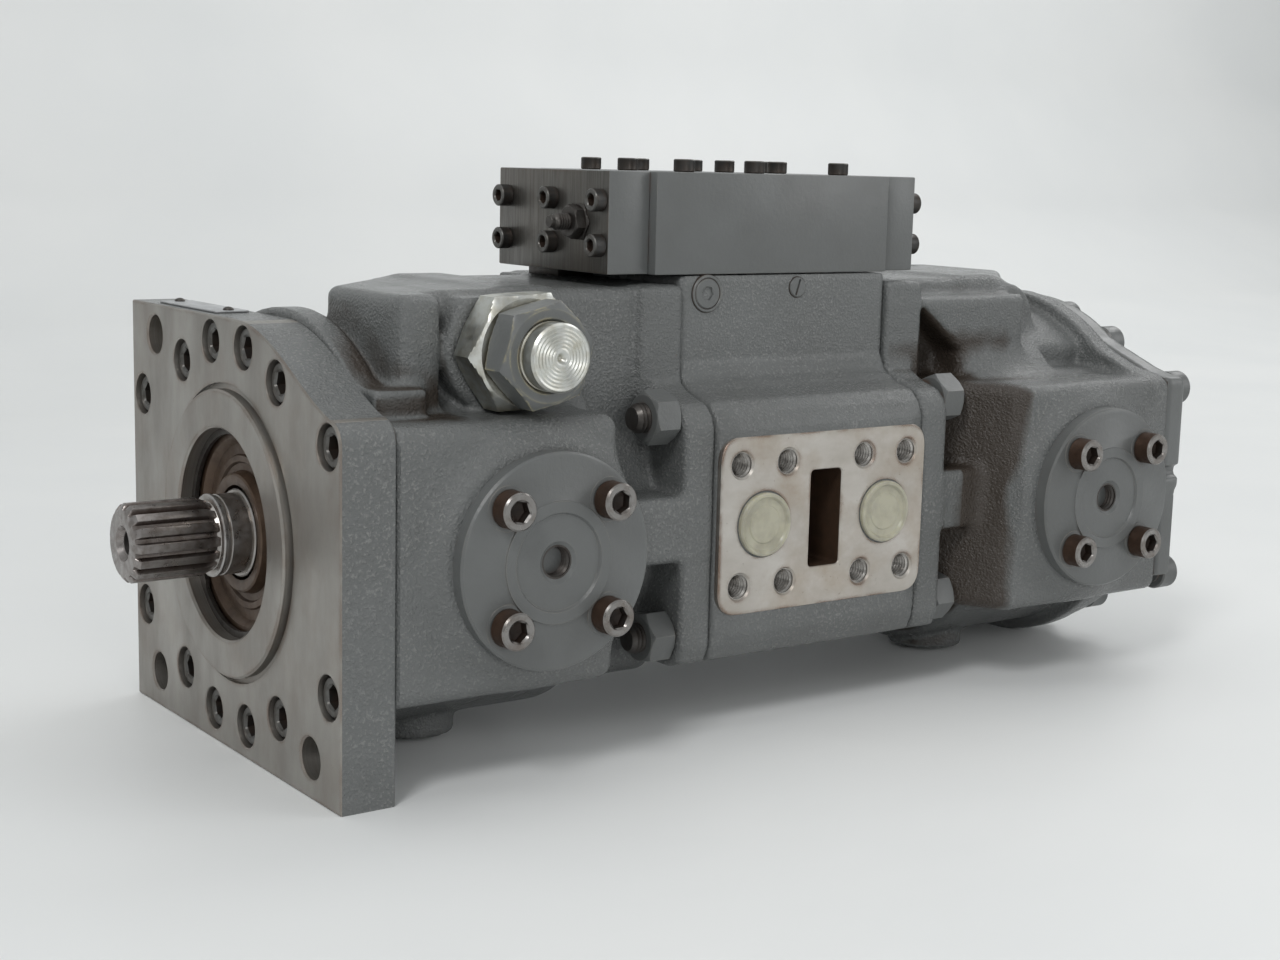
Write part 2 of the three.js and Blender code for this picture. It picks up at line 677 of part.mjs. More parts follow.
// ---------------------------------------------------------------- displacement stop

function stopScrew() {
  const { x, z } = SERVO;
  return join(
    rodY(STOP.bossFace - 1, STOP.inner, STOP_SIZE.rodRadius, x, z, COARSE),
    hexY(STOP.hexEnd, STOP.bossFace - GAP, STOP_SIZE.bodyFlats, x, z),
    rodY(STOP.end, STOP.hexEnd + 1, STOP_SIZE.threadRadius, x, z),
  );
}

function stopNut() {
  const { x, z } = SERVO;
  return cut(
    hexY(STOP.nutEnd, STOP.hexEnd - GAP, STOP_SIZE.nutFlats, x, z),
    rodY(STOP.nutEnd - 1, STOP.hexEnd, STOP_SIZE.threadRadius + GAP, x, z),
  );
}

// ---------------------------------------------------------------- regulator

const topScrewHead = ([x, y]) =>
  rodZ(REGULATOR.top - 1, REGULATOR.top + REGULATOR_SCREW.height, REGULATOR_SCREW.radius, x, y, SMALL);

// The screw heads on an end cover, lying between two values of x.
function coverScrewHeads(x0, x1) {
  const { near, far } = REGULATOR_COVER;
  const { bottom, top } = REGULATOR;
  const { radius, inset, zInset } = REGULATOR_SCREW;
  const ys = [near + inset, (near + far) / 2, far - inset];
  return grid(ys, [bottom + zInset, top - zInset]).map(([y, z]) => rodX(x0, x1, radius, y, z, SMALL));
}

function regulatorBody() {
  const { front, rear, near, far, bottom, top } = REGULATOR;
  return join(
    box(front, rear - GAP, near, far, bottom, top),
    ...REGULATOR_TOP_SCREWS.map(topScrewHead),
  );
}

function regulatorFrontCover() {
  const { near, far, front } = REGULATOR_COVER;
  const { bottom, top } = REGULATOR;
  const { y, z, nutRadius, nutHeight, screwRadius, length } = ADJUSTER;
  return join(
    box(front, REGULATOR.front - GAP, near, far, bottom, top),
    rodX(front - nutHeight, front + 1, nutRadius, y, z, 6),
    rodX(front - length, front + 1, screwRadius, y, z, SMALL),
    ...coverScrewHeads(front - REGULATOR_SCREW.height, front + 1),
  );
}

function regulatorRearCover() {
  const { near, far, rear } = REGULATOR_COVER;
  const { bottom, top } = REGULATOR;
  return join(
    box(REGULATOR.rear, rear, near, far, bottom, top),
    ...coverScrewHeads(rear - 1, rear + REGULATOR_SCREW.height),
  );
}

// ---------------------------------------------------------------- assembly

addPiece(pump, 'mounting_flange', mountingFlange(), BARE_STEEL);
addPiece(pump, 'seal_cover', sealCover(), SEAL_BROWN);
addPiece(pump, 'front_housing', housing(CASE.front, FRONT_FOOT), PAINT);
addPiece(pump, 'valve_block', valveBlock(), PAINT);
addPiece(rearPump, 'rear_housing', housing(REAR_COVER.seam, REAR_FOOT), PAINT);
addPiece(rearPump, 'rear_end_cover', rearEndCover(), PAINT);
addPiece(pump, 'regulator_body', regulatorBody(), PAINT);
addPiece(pump, 'regulator_front_cover', regulatorFrontCover(), DARK_STEEL);
addPiece(pump, 'regulator_rear_cover', regulatorRearCover(), DARK_STEEL);
addPiece(pump, 'port_cap_front', portCap(-PORT.pitchX / 2), CAP_PLASTIC);
addPiece(pump, 'port_cap_rear', portCap(PORT.pitchX / 2), CAP_PLASTIC);
addPiece(pump, 'drive_shaft', driveShaft(), GROUND_STEEL);
addPiece(pump, 'rear_shaft', rearShaft(), GROUND_STEEL);
addPiece(pump, 'shaft_coupling', shaftCoupling(), GROUND_STEEL);

for (const [parent, end] of [[frontPump, 'front'], [rearPump, 'rear']]) {
  const across = new THREE.Group();
  across.position.set(2 * SIDE_COVER.x, 0, 0);
  across.rotation.z = Math.PI;
  parent.add(across);
  addPiece(parent, `side_cover_${end}_a`, sideCover(), PAINT);
  addPiece(across, `side_cover_${end}_b`, sideCover(), PAINT);
  addPiece(parent, `stop_screw_${end}`, stopScrew(), BRIGHT_ZINC);
  addPiece(parent, `stop_nut_${end}`, stopNut(), PAINT);
  addPiece(parent, `swash_support_${end}`, swashSupport(), DARK_STEEL);
  addPiece(parent, `swash_plate_${end}`, swashPlate(), GROUND_STEEL);
  addPiece(parent, `servo_piston_${end}`, servoPiston(), GROUND_STEEL);
  addPiece(parent, `retainer_${end}`, retainer(), GROUND_STEEL);
  addPiece(parent, `cylinder_block_${end}`, cylinderBlock(), GROUND_STEEL);
  clockPositions.forEach((angle, n) => {
    addPiece(parent, `shoe_${end}_${n + 1}`, shoe(angle), BRONZE);
    addPiece(parent, `piston_${end}_${n + 1}`, piston(angle), GROUND_STEEL);
  });
}

export default pump;
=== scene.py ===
"""Tandem axial piston pump: the looks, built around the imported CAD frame."""
from math import ceil, cos, hypot, pi, radians, sin, tan

import bmesh
import bpy
import numpy as np
from mathutils import Matrix, Vector
from mathutils.geometry import delaunay_2d_cdt


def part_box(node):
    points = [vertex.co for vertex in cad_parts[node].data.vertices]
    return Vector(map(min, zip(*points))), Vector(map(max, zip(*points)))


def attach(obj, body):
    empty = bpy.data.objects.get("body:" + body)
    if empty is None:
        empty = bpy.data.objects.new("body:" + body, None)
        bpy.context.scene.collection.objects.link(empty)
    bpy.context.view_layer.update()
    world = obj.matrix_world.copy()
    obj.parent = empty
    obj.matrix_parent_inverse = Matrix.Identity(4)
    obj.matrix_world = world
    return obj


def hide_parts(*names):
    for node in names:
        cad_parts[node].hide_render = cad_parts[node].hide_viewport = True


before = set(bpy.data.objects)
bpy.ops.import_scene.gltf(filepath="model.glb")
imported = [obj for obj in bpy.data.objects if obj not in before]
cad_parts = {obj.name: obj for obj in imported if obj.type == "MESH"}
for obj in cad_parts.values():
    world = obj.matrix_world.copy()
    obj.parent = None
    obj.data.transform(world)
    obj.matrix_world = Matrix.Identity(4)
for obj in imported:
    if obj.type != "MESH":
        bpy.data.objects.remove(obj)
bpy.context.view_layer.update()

# ---- the pump's own frame, in mm
# x = 0 is the face of the mounting flange, the shaft runs along x at y = z = 0, and the delivery
# ports face -y. Both pumps share one design: the rear one is the front one turned half a turn.

MM = 0.001
FLANGE_THICKNESS = 24.9
SHAFT_HEIGHT = 97.5
flange_high = Vector(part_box("mounting_flange")[1]) / MM
shaft_low, shaft_high = (Vector(corner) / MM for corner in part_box("drive_shaft"))
block_low, block_high = (Vector(corner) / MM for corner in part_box("valve_block"))
ORIGIN = Vector((flange_high.x - FLANGE_THICKNESS, 0, (shaft_low.z + shaft_high.z) / 2))
MIDDLE = (block_low.x + block_high.x) / 2 - ORIGIN.x

BLOCK_FRONT, BLOCK_REAR = MIDDLE - 64.2, MIDDLE + 64.2
BLOCK_HALF_WIDTH = 91.4
COLUMN_HALF_WIDTH = 60.0
BLOCK_TOP = 113.2
PAD_Y = -94.6
CASE_END = 198.3
CASE_TOP = 108.5
CASE_OUTER = {"front": 25.1, "rear": 37.7}
COVER_X = 93.4
COVER_SEAT = 111.7
COVER_SCREW = 24.8
TIE_NUT_X = 180.7
VALVE_PLATE_X = 189.3
STOP_Z = 85.0
SCREW_PATTERN = [(sy * y, sz * z) for y, z in ((17, 83), (49.2, 71.5), (96.5, 51))
                 for sy in (1, -1) for sz in (1, -1)]
PORT_XS = (MIDDLE - 37.5, MIDDLE + 37.5)
PORT_BOLTS = [(x + dx, z) for x in PORT_XS for dx in (-13.75, 13.75) for z in (-28.6, 28.6)]
SUCTION_Z = -8
SUCTION_BOLTS = [(MIDDLE + dx, SUCTION_Z + dz) for dx in (-44.45, 44.45) for dz in (-25.4, 25.4)]
TIE_BOLTS = [(sy * 77.0, sz * 51.0) for sy in (1, -1) for sz in (1, -1)]
FOOT = {"front": (81.0, -18.0), "rear": (116.5, 16.0)}

UNIT = {
    "front": Matrix.Identity(4),
    "rear": Matrix.Translation((2 * MIDDLE, 0, 0)) @ Matrix.Rotation(pi, 4, "Z"),
}
TO_WORLD = Matrix.Scale(MM, 4) @ Matrix.Translation(ORIGIN)


# ---- meshes

def placed(name, data):
    """A new object in the scene."""
    thing = bpy.data.objects.new(name, data)
    bpy.context.scene.collection.objects.link(thing)
    return thing


def add_piece(name, mesh, materials, replaces=(), body="root", sharp=30):
    """Links a mesh that is in metres, shades it, gives it its materials and body, and hides the CAD
    nodes that it replaces."""
    mesh.polygons.foreach_set("use_smooth", [True] * len(mesh.polygons))
    mesh.set_sharp_from_angle(angle=radians(sharp))
    for material in materials if isinstance(materials, list) else [materials]:
        mesh.materials.append(material)
    piece = placed(name, mesh)
    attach(piece, body)
    if replaces:
        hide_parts(*replaces)


def shaped(shape, mesh=None):
    """The mesh of a bmesh, which is then freed."""
    mesh = mesh or bpy.data.meshes.new("part")
    shape.to_mesh(mesh)
    shape.free()
    return mesh


def mesh_from(verts, faces, place=Matrix.Identity(4), shades=None):
    """A closed mesh with its faces out, from points in mm in the pump's frame. The shades are
    material numbers, one for each face."""
    mesh = bpy.data.meshes.new("part")
    mesh.from_pydata([tuple(v) for v in verts], [], [tuple(f) for f in faces])
    if shades:
        mesh.polygons.foreach_set("material_index", shades)
    mesh.transform(TO_WORLD @ place)
    shape = bmesh.new()
    shape.from_mesh(mesh)
    bmesh.ops.remove_doubles(shape, verts=shape.verts, dist=1e-6)
    bmesh.ops.recalc_face_normals(shape, faces=shape.faces)
    return shaped(shape, mesh)


def joined(*meshes):
    """One mesh from several, each still a closed body of its own."""
    shape = bmesh.new()
    for mesh in meshes:
        shape.from_mesh(mesh)
        bpy.data.meshes.remove(mesh)
    return shaped(shape)


def circle(radius, count):
    """Points of a circle, as x and y."""
    return [(radius * cos(a), radius * sin(a))
            for a in (2 * pi * n / count for n in range(count))]


def fillet(points, radius, steps=4, closed=True):
    """Rounds the corners of a polyline; radius is one number or one per corner."""
    points = [Vector(p) for p in points]
    radii = radius if isinstance(radius, (list, tuple)) else [radius] * len(points)
    out = []
    for i, (corner, size) in enumerate(zip(points, radii)):
        at_end = not closed and i in (0, len(points) - 1)
        if size <= 0 or at_end:
            out.append(corner)
            continue
        before = points[i - 1] - corner
        after = points[(i + 1) % len(points)] - corner
        half = before.angle(after) / 2
        reach = min(size / max(tan(half), 1e-6), 0.49 * before.length, 0.49 * after.length)
        start = corner + before.normalized() * reach
        end = corner + after.normalized() * reach
        for s in range(steps + 1):
            t = s / steps
            out.append(start * (1 - t) ** 2 + corner * 2 * t * (1 - t) + end * t * t)
    return out


KNURLED = -1


def ring_radius(sides, angle):
    """The reach of a ring at an angle: 1 all round, or on a polygon the reach beyond its flats."""
    if not sides:
        return 1.0
    pitch = 2 * pi / sides
    return 1.0 / cos((angle + pitch / 2) % pitch - pitch / 2)


def turned(profile, place, segments=48, closed=False, shades=None):
    """Turns [along, radius, sides, limit] points about the local Z axis; sides and limit may be
    left out, and a limit holds a polygon's corners back. The profile starts and ends on the axis,
    or is closed. The shades are material numbers, one for each span of the profile."""
    verts, rings = [], []
    for point in profile:
        along, radius, sides, limit = (*point, *(0, 1e9)[len(point) - 2:])
        if radius < 1e-6:
            rings.append([len(verts)])
            verts.append((0, 0, along))
            continue
        ring = []
        for n in range(segments):
            angle = 2 * pi * n / segments
            if sides == KNURLED:
                r = radius * (0.975 if n % 2 else 1.0)
            else:
                r = min(radius * ring_radius(sides, angle), limit)
            ring.append(len(verts))
            verts.append((r * cos(angle), r * sin(angle), along))
        rings.append(ring)
    faces, face_shades = [], []
    pairs = list(zip(rings, rings[1:])) + ([(rings[-1], rings[0])] if closed else [])
    for span, (low, high) in enumerate(pairs):
        for n in range(segments):
            m = (n + 1) % segments
            near, far = len(low), len(high)
            corners = [low[n % near], low[m % near], high[m % far], high[n % far]]
            face = list(dict.fromkeys(corners))
            if len(face) > 2:
                faces.append(face)
                face_shades.append(shades[span] if shades else 0)
    return mesh_from(verts, faces, place, face_shades)


def plate(outline, thickness, place, holes=(), edge=0.6, segments=40):
    """A flat plate, its front face at local z = 0 and its body behind it, with chamfered edges.
    A hole is (x, y, radius, depth, chamfer) or has an outline in place of its radius; a depth of
    None goes right through."""
    outline = [Vector(p[:2]) for p in outline]
    verts, faces = [], []

    def loop(points, z):
        first = len(verts)
        verts.extend((p.x, p.y, z) for p in points)
        return list(range(first, len(verts)))

    def bridge(a, b):
        for i in range(len(a)):
            j = (i + 1) % len(a)
            faces.append((a[i], a[j], b[j], b[i]))

    def grown(points, distance):
        count = len(points)
        area = sum(points[i].x * points[(i + 1) % count].y - points[(i + 1) % count].x * points[i].y
                   for i in range(count))
        sign = 1.0 if area > 0 else -1.0
        moved = []
        for i in range(count):
            a = (points[i] - points[i - 1]).normalized()
            b = (points[(i + 1) % count] - points[i]).normalized()
            normal = Vector((a.y + b.y, -(a.x + b.x)))
            normal = normal.normalized() if normal.length > 1e-9 else Vector((a.y, -a.x))
            moved.append(points[i] + normal * distance * sign)
        return moved

    front = loop(grown(outline, -edge), 0)
    upper = loop(outline, -edge)
    lower = loop(outline, edge - thickness)
    back = loop(grown(outline, -edge), -thickness)
    bridge(front, upper)
    bridge(upper, lower)
    bridge(lower, back)
    front_loops, back_loops = [front], [back]
    for x, y, size, depth, chamfer in holes:
        if isinstance(size, (int, float)):
            size = circle(size, segments)
        wall = [Vector((x + p[0], y + p[1])) for p in size]
        mouth = loop(grown(wall, chamfer), 0)
        neck = loop(wall, -chamfer)
        bridge(mouth, neck)
        front_loops.append(mouth)
        if depth is None:
            end = loop(wall, -thickness)
            back_loops.append(end)
            bridge(neck, end)
        else:
            floor = loop(wall, -depth)
            bridge(neck, floor)
            faces.append(tuple(floor))

    for loops in (front_loops, back_loops):
        flat = [Vector(verts[i][:2]) for part in loops for i in part]
        index = [i for part in loops for i in part]
        edges, first = [], 0
        for part in loops:
            count = len(part)
            edges += [(first + i, first + (i + 1) % count) for i in range(count)]
            first += count
        found = delaunay_2d_cdt(flat, edges, [], 0, 1e-5)
        source = [ids[0] for ids in found[3]]
        rings = [[Vector(verts[i][:2]) for i in part] for part in loops]
        for triangle in found[2]:
            middle = sum((found[0][i] for i in triangle), Vector((0, 0))) / 3
            inside = [within(middle, ring) for ring in rings]
            if inside[0] and not any(inside[1:]):
                faces.append(tuple(index[source[i]] for i in triangle))
    return mesh_from(verts, faces, place)


def within(point, ring):
    """Whether a point is inside a closed ring of points."""
    inside = False
    for a, b in zip(ring, ring[1:] + ring[:1]):
        if (a.y > point.y) != (b.y > point.y):
            if point.x < a.x + (point.y - a.y) / (b.y - a.y) * (b.x - a.x):
                inside = not inside
    return inside


def rectangle(x0, x1, y0, y1, radius, steps=5):
    return fillet([(x0, y0), (x1, y0), (x1, y1), (x0, y1)], radius, steps)


# ---- cast shapes as distance fields
# A field gives the distance in mm from points to a surface, negative inside it.

AXES = {"x": 0, "y": 1, "z": 2}


def box_field(p, low, high, edge=3.0):
    q = [np.abs(p[i] - (low[i] + high[i]) / 2) - ((high[i] - low[i]) / 2 - edge) for i in range(3)]
    outside = np.sqrt(sum(np.maximum(c, 0) ** 2 for c in q))
    return outside + np.minimum(np.maximum(np.maximum(q[0], q[1]), q[2]), 0) - edge


def slab(across, along, low, high, edge):
    """Closes a flat field across an axis into one between two heights along it."""
    a = across + edge
    b = np.abs(along - (low + high) / 2) - ((high - low) / 2 - edge)
    return np.hypot(np.maximum(a, 0), np.maximum(b, 0)) + np.minimum(np.maximum(a, b), 0) - edge


def rod_field(p, axis, low, high, radius, centre=(0, 0), edge=2.0):
    i = AXES[axis]
    u, v = [p[j] for j in range(3) if j != i]
    return slab(np.hypot(u - centre[0], v - centre[1]) - radius, p[i], low, high, edge)


def prism_field(p, axis, low, high, outline, edge=3.0):
    i = AXES[axis]
    u, v = [p[j] for j in range(3) if j != i]
    nearest = np.full(u.shape, 1e9, dtype=u.dtype)
    inside = np.zeros(u.shape, dtype=bool)
    for (ax, ay), (bx, by) in zip(outline, outline[1:] + outline[:1]):
        ex, ey = bx - ax, by - ay
        t = np.clip(((u - ax) * ex + (v - ay) * ey) / (ex * ex + ey * ey), 0, 1)
        nearest = np.minimum(nearest, (u - ax - t * ex) ** 2 + (v - ay - t * ey) ** 2)
        if ay != by:
            crosses = (ay > v) != (by > v)
            inside ^= crosses & (u < ax + (v - ay) / (by - ay) * ex)
    flat = np.sqrt(nearest) * np.where(inside, -1, 1)
    return slab(flat, p[i], low, high, edge)


def blend(a, b, k=6.0):
    """The join of two fields with a fillet of about k."""
    h = np.maximum(k - np.abs(a - b), 0) / k
    return np.minimum(a, b) - h * h * k / 4


def carve(a, b, k=2.0):
    """The first field with the second taken out of it."""
    return -blend(-a, b, k)


def blend_all(k, whole, *fields):
    for field in fields:
        whole = blend(whole, field, k)
    return whole


def carve_all(whole, *fields):
    for field in fields:
        whole = carve(whole, field, 1)
    return whole


POCKET = 36.0


def cast(field, low, high, place, grime_and_shade):
    """The surface where a field is zero, as an even mesh: one vertex in each grid cell that it
    crosses, then moved onto it. Its attribute says how hollow the shape is around each vertex,
    where the paint is darkened with brown primer and painted shade."""
    step = 2.0
    counts = [ceil((h - l) / step) + 1 for l, h in zip(low, high)]
    lines = [np.linspace(l, l + (n - 1) * step, n, dtype=np.float32) for l, n in zip(low, counts)]
    grid = np.meshgrid(*lines, indexing="ij")
    f = field(grid)
    inside = f < 0
    shape = tuple(n - 1 for n in counts)
    total = np.zeros(shape + (3,), dtype=np.float32)
    hits = np.zeros(shape, dtype=np.float32)
    corner = {c: f[c[0]:c[0] + shape[0], c[1]:c[1] + shape[1], c[2]:c[2] + shape[2]]
              for c in np.ndindex(2, 2, 2)}
    for start in corner:
        for i in range(3):
            if start[i]:
                continue
            end = tuple(1 if j == i else start[j] for j in range(3))
            a, b = corner[start], corner[end]
            crossed = (a < 0) != (b < 0)
            t = np.where(crossed, a / np.where(crossed, a - b, 1), 0)
            for j in range(3):
                total[..., j] += np.where(crossed, start[j] + (t if j == i else 0), 0)
            hits += crossed
    used = hits > 0
    cells = np.argwhere(used)
    points = (cells + total[used] / hits[used][:, None]) * step + np.array(low)
    index = np.full(shape, -1, dtype=np.int64)
    index[used] = np.arange(len(cells))
    quads = []
    for i in range(3):
        j, k = (i + 1) % 3, (i + 2) % 3
        here = [slice(None)] * 3
        there = [slice(None)] * 3
        here[i], there[i] = slice(0, -1), slice(1, None)
        change = inside[tuple(here)] != inside[tuple(there)]
        at = np.argwhere(change)
        keep = (at[:, j] > 0) & (at[:, k] > 0) & (at[:, j] < shape[j]) & (at[:, k] < shape[k])
        at = at[keep]
        out = inside[tuple(here)][tuple(at.T)]
        around = []
        for dj, dk in ((1, 1), (0, 1), (0, 0), (1, 0)):
            cell = at.copy()
            cell[:, j] -= dj
            cell[:, k] -= dk
            around.append(index[tuple(cell.T)])
        quad = np.stack(around, axis=1)
        quad[~out] = quad[~out][:, ::-1]
        quads.append(quad)
    quads = np.concatenate(quads)
    for _ in range(2):
        value = field([points[:, i] for i in range(3)])
        slope = np.stack(
            [field([points[:, j] + (0.4 if j == i else 0) for j in range(3)]) - value
             for i in range(3)], axis=1) / 0.4
        size = np.maximum((slope ** 2).sum(axis=1), 0.25)
        move = np.clip(value / size, -step / 2, step / 2)
        points = points - slope * move[:, None]
    # Hollowness as a kind of ambient occlusion, read off the field; it drives painted shade and
    # brown primer.
    off = points + slope / np.sqrt(size)[:, None] * POCKET
    hollow = np.clip(1 - field([off[:, i] for i in range(3)]) / POCKET, 0, 1)
    hollow = grime_and_shade([points[:, i] for i in range(3)], hollow)
    mesh = bpy.data.meshes.new("casting")
    mesh.vertices.add(len(points))
    mesh.vertices.foreach_set("co", points.astype(np.float32).ravel())
    mesh.loops.add(quads.size)
    mesh.loops.foreach_set("vertex_index", quads.ravel().astype(np.int32))
    mesh.polygons.add(len(quads))
    mesh.polygons.foreach_set("loop_start", np.arange(0, quads.size, 4, dtype=np.int32))
    mesh.update(calc_edges=True)
    shade = mesh.attributes.new("hollow", "FLOAT", "POINT")
    shade.data.foreach_set("value", hollow.astype(np.float32))
    mesh.transform(TO_WORLD @ place)
    return mesh


def block_half_outline(top):
    """One side of the joint faces' outline, from the bottom up, as y and z."""
    w, c = BLOCK_HALF_WIDTH, COLUMN_HALF_WIDTH
    return [(w - 12, -66), (w - 3, -63), (w, -56), (w, 46), (w - 2, 52), (w - 7, 57),
            (c + 12, 60.5), (c + 4, 65), (c, 73), (c, top)]


def block_outline(top):
    half = block_half_outline(top)
    return half + [(-y, z) for y, z in reversed(half)]


STOP_BLOCK_PLAN = [(42, -77.6), (42, -12), (96, 42), (130, 42), (130, -60), (63.4, -60),
                   (63.4, -77.6)]
SHELF = [(98, 0), (140, 0), (145, 72), (171, 94), (CASE_END, 94), (CASE_END, 100.5), (98, 100.5)]
LEAN = 0.07
SHOULDERS = [(-109, 0), (109, 0), (109, 55), (61, 74), (-61, 74), (-109, 55)]


def case_field(end):
    """One pump case. Its -y side carries the displacement stop."""
    outer = CASE_OUTER[end]
    foot_x, foot_y = FOOT[end]
    side_plan = [(outer - 20, 0), (outer - 20, 109), (140, 109), (146, 102), (156, 84), (172, 60),
                 (172, 0)]
    top_plan = [(v.x, v.y) for v in fillet(STOP_BLOCK_PLAN, 6, 2)]

    def field(p):
        barrel = rod_field(p, "x", outer, 143, 92, edge=6)
        neck = rod_field(p, "x", 110, CASE_END, 69, edge=1)
        body = blend(barrel, neck, 8)
        collar = 38 if end == "front" else 50
        body = blend(body, rod_field(p, "x", outer, collar, 98.3, edge=2), 4)
        if end == "rear":
            body = blend(body, prism_field(p, "x", outer, collar, SHOULDERS, 2), 3)
            body = carve(body, box_field(p, (51, 57, 60), (82, 99, 99), 3), 3)
        near = box_field(p, (outer - 20, -109, -58), (133, 0, 58.5), 7)
        leaning = [p[0] - LEAN * (58.5 - p[2]), p[1], p[2]]
        far = prism_field(leaning, "z", -57, 58.5, side_plan, 6)
        body = blend_all(6, body, near, far)
        for side in (-1, 1):
            seat = sorted((0, side * COVER_SEAT))
            body = blend(body, rod_field(p, "y", *seat, 47.6, (COVER_X, 0), 1.2), 16)
        shoulder = box_field(p, (outer + 2, -85, 0), (52, 0, 70.5), 2.5)
        body = blend(body, shoulder, 3)
        top = prism_field(p, "z", 0, 108.5, top_plan, 5)
        spine = box_field(p, (100, -60, 0), (CASE_END, 42, 108.5), 5)
        shelf = prism_field(p, "y", 0, 61, SHELF, 4)
        body = blend_all(6, body, top, spine, shelf)
        boss = rod_field(p, "y", -78, 0, 29, (COVER_X, STOP_Z), 2.5)
        body = blend(body, np.maximum(boss, p[2] - 107), 4)
        blind_end = rod_field(p, "y", 0, 45, 20.5, (COVER_X, STOP_Z), 5)
        body = blend(body, np.maximum(blind_end, p[2] - 104.5), 6)
        ribs = box_field(p, (110, -91, -15), (CASE_END - 1, 91, 16), 4)
        under = box_field(p, (110, -48, -77), (CASE_END, 48, 0), 8)
        rim = prism_field(p, "x", 181, CASE_END, block_outline(CASE_TOP), 3)
        upper_rim = box_field(p, (174.4, -63.5, 57), (CASE_END, 62, CASE_TOP), 2)
        body = blend_all(5, body, ribs, under)
        body = blend_all(3, body, rim, upper_rim)
        body = blend(body, rod_field(p, "z", 2 - SHAFT_HEIGHT, -60, 20, (foot_x, foot_y), 1.5), 3)
        outside = np.maximum(outer - p[0], p[0] - CASE_END)
        return carve_all(
            np.maximum(body, outside),
            rod_field(p, "x", 38, CASE_END + 9, 58, edge=1),
            rod_field(p, "x", outer - 9, 40, 40, edge=1),
            rod_field(p, "y", -130, 130, 34, (COVER_X, 0), 1),
            rod_field(p, "y", -130, 40, 16.5, (COVER_X, STOP_Z), 1),
            box_field(p, (78, -17, 40), (108, 17, 75), 1))

    return field


def block_field(p):
    """The valve block with its two delivery ports, slot, suction port and shaft bore."""
    body = prism_field(p, "x", BLOCK_FRONT, BLOCK_REAR, block_outline(BLOCK_TOP), 3)
    hips = [(-BLOCK_HALF_WIDTH, -50), (-BLOCK_HALF_WIDTH, 44), (-60, 62), (60, 62),
            (BLOCK_HALF_WIDTH, 44), (BLOCK_HALF_WIDTH, -50), (60, -66), (-60, -66)]
    body = blend(body, prism_field(p, "x", BLOCK_FRONT + 8, BLOCK_REAR - 8, hips, 4), 12)
    boss = box_field(p, (MIDDLE - 61, 60, -48), (MIDDLE + 61, -PAD_Y - 3, 32), 6)
    body = blend(body, boss, 4)
    body = np.maximum(body, np.maximum(BLOCK_FRONT - p[0], p[0] - BLOCK_REAR))
    ports = [rod_field(p, "y", PAD_Y - 9, PAD_Y + 32, 13.2, (x, 0), 1) for x in PORT_XS]
    bolts = [rod_field(p, "y", PAD_Y - 9, PAD_Y + 24, 6.6, bolt, 1) for bolt in PORT_BOLTS]
    bolts += [rod_field(p, "y", -PAD_Y - 21, 99, 6.6, bolt, 1) for bolt in SUCTION_BOLTS]
    slot = box_field(p, (MIDDLE - 10.6, PAD_Y - 9, -24.4), (MIDDLE + 10.6, PAD_Y + 31, 24.4), 2)
    suction = rod_field(p, "y", -PAD_Y - 28, -PAD_Y + 9, 31.5, (MIDDLE, SUCTION_Z), 1)
    bore = rod_field(p, "x", 180, 2 * MIDDLE - 180, 24, edge=1)
    return carve_all(body, *ports, *bolts, slot, suction, bore)


# ---- materials

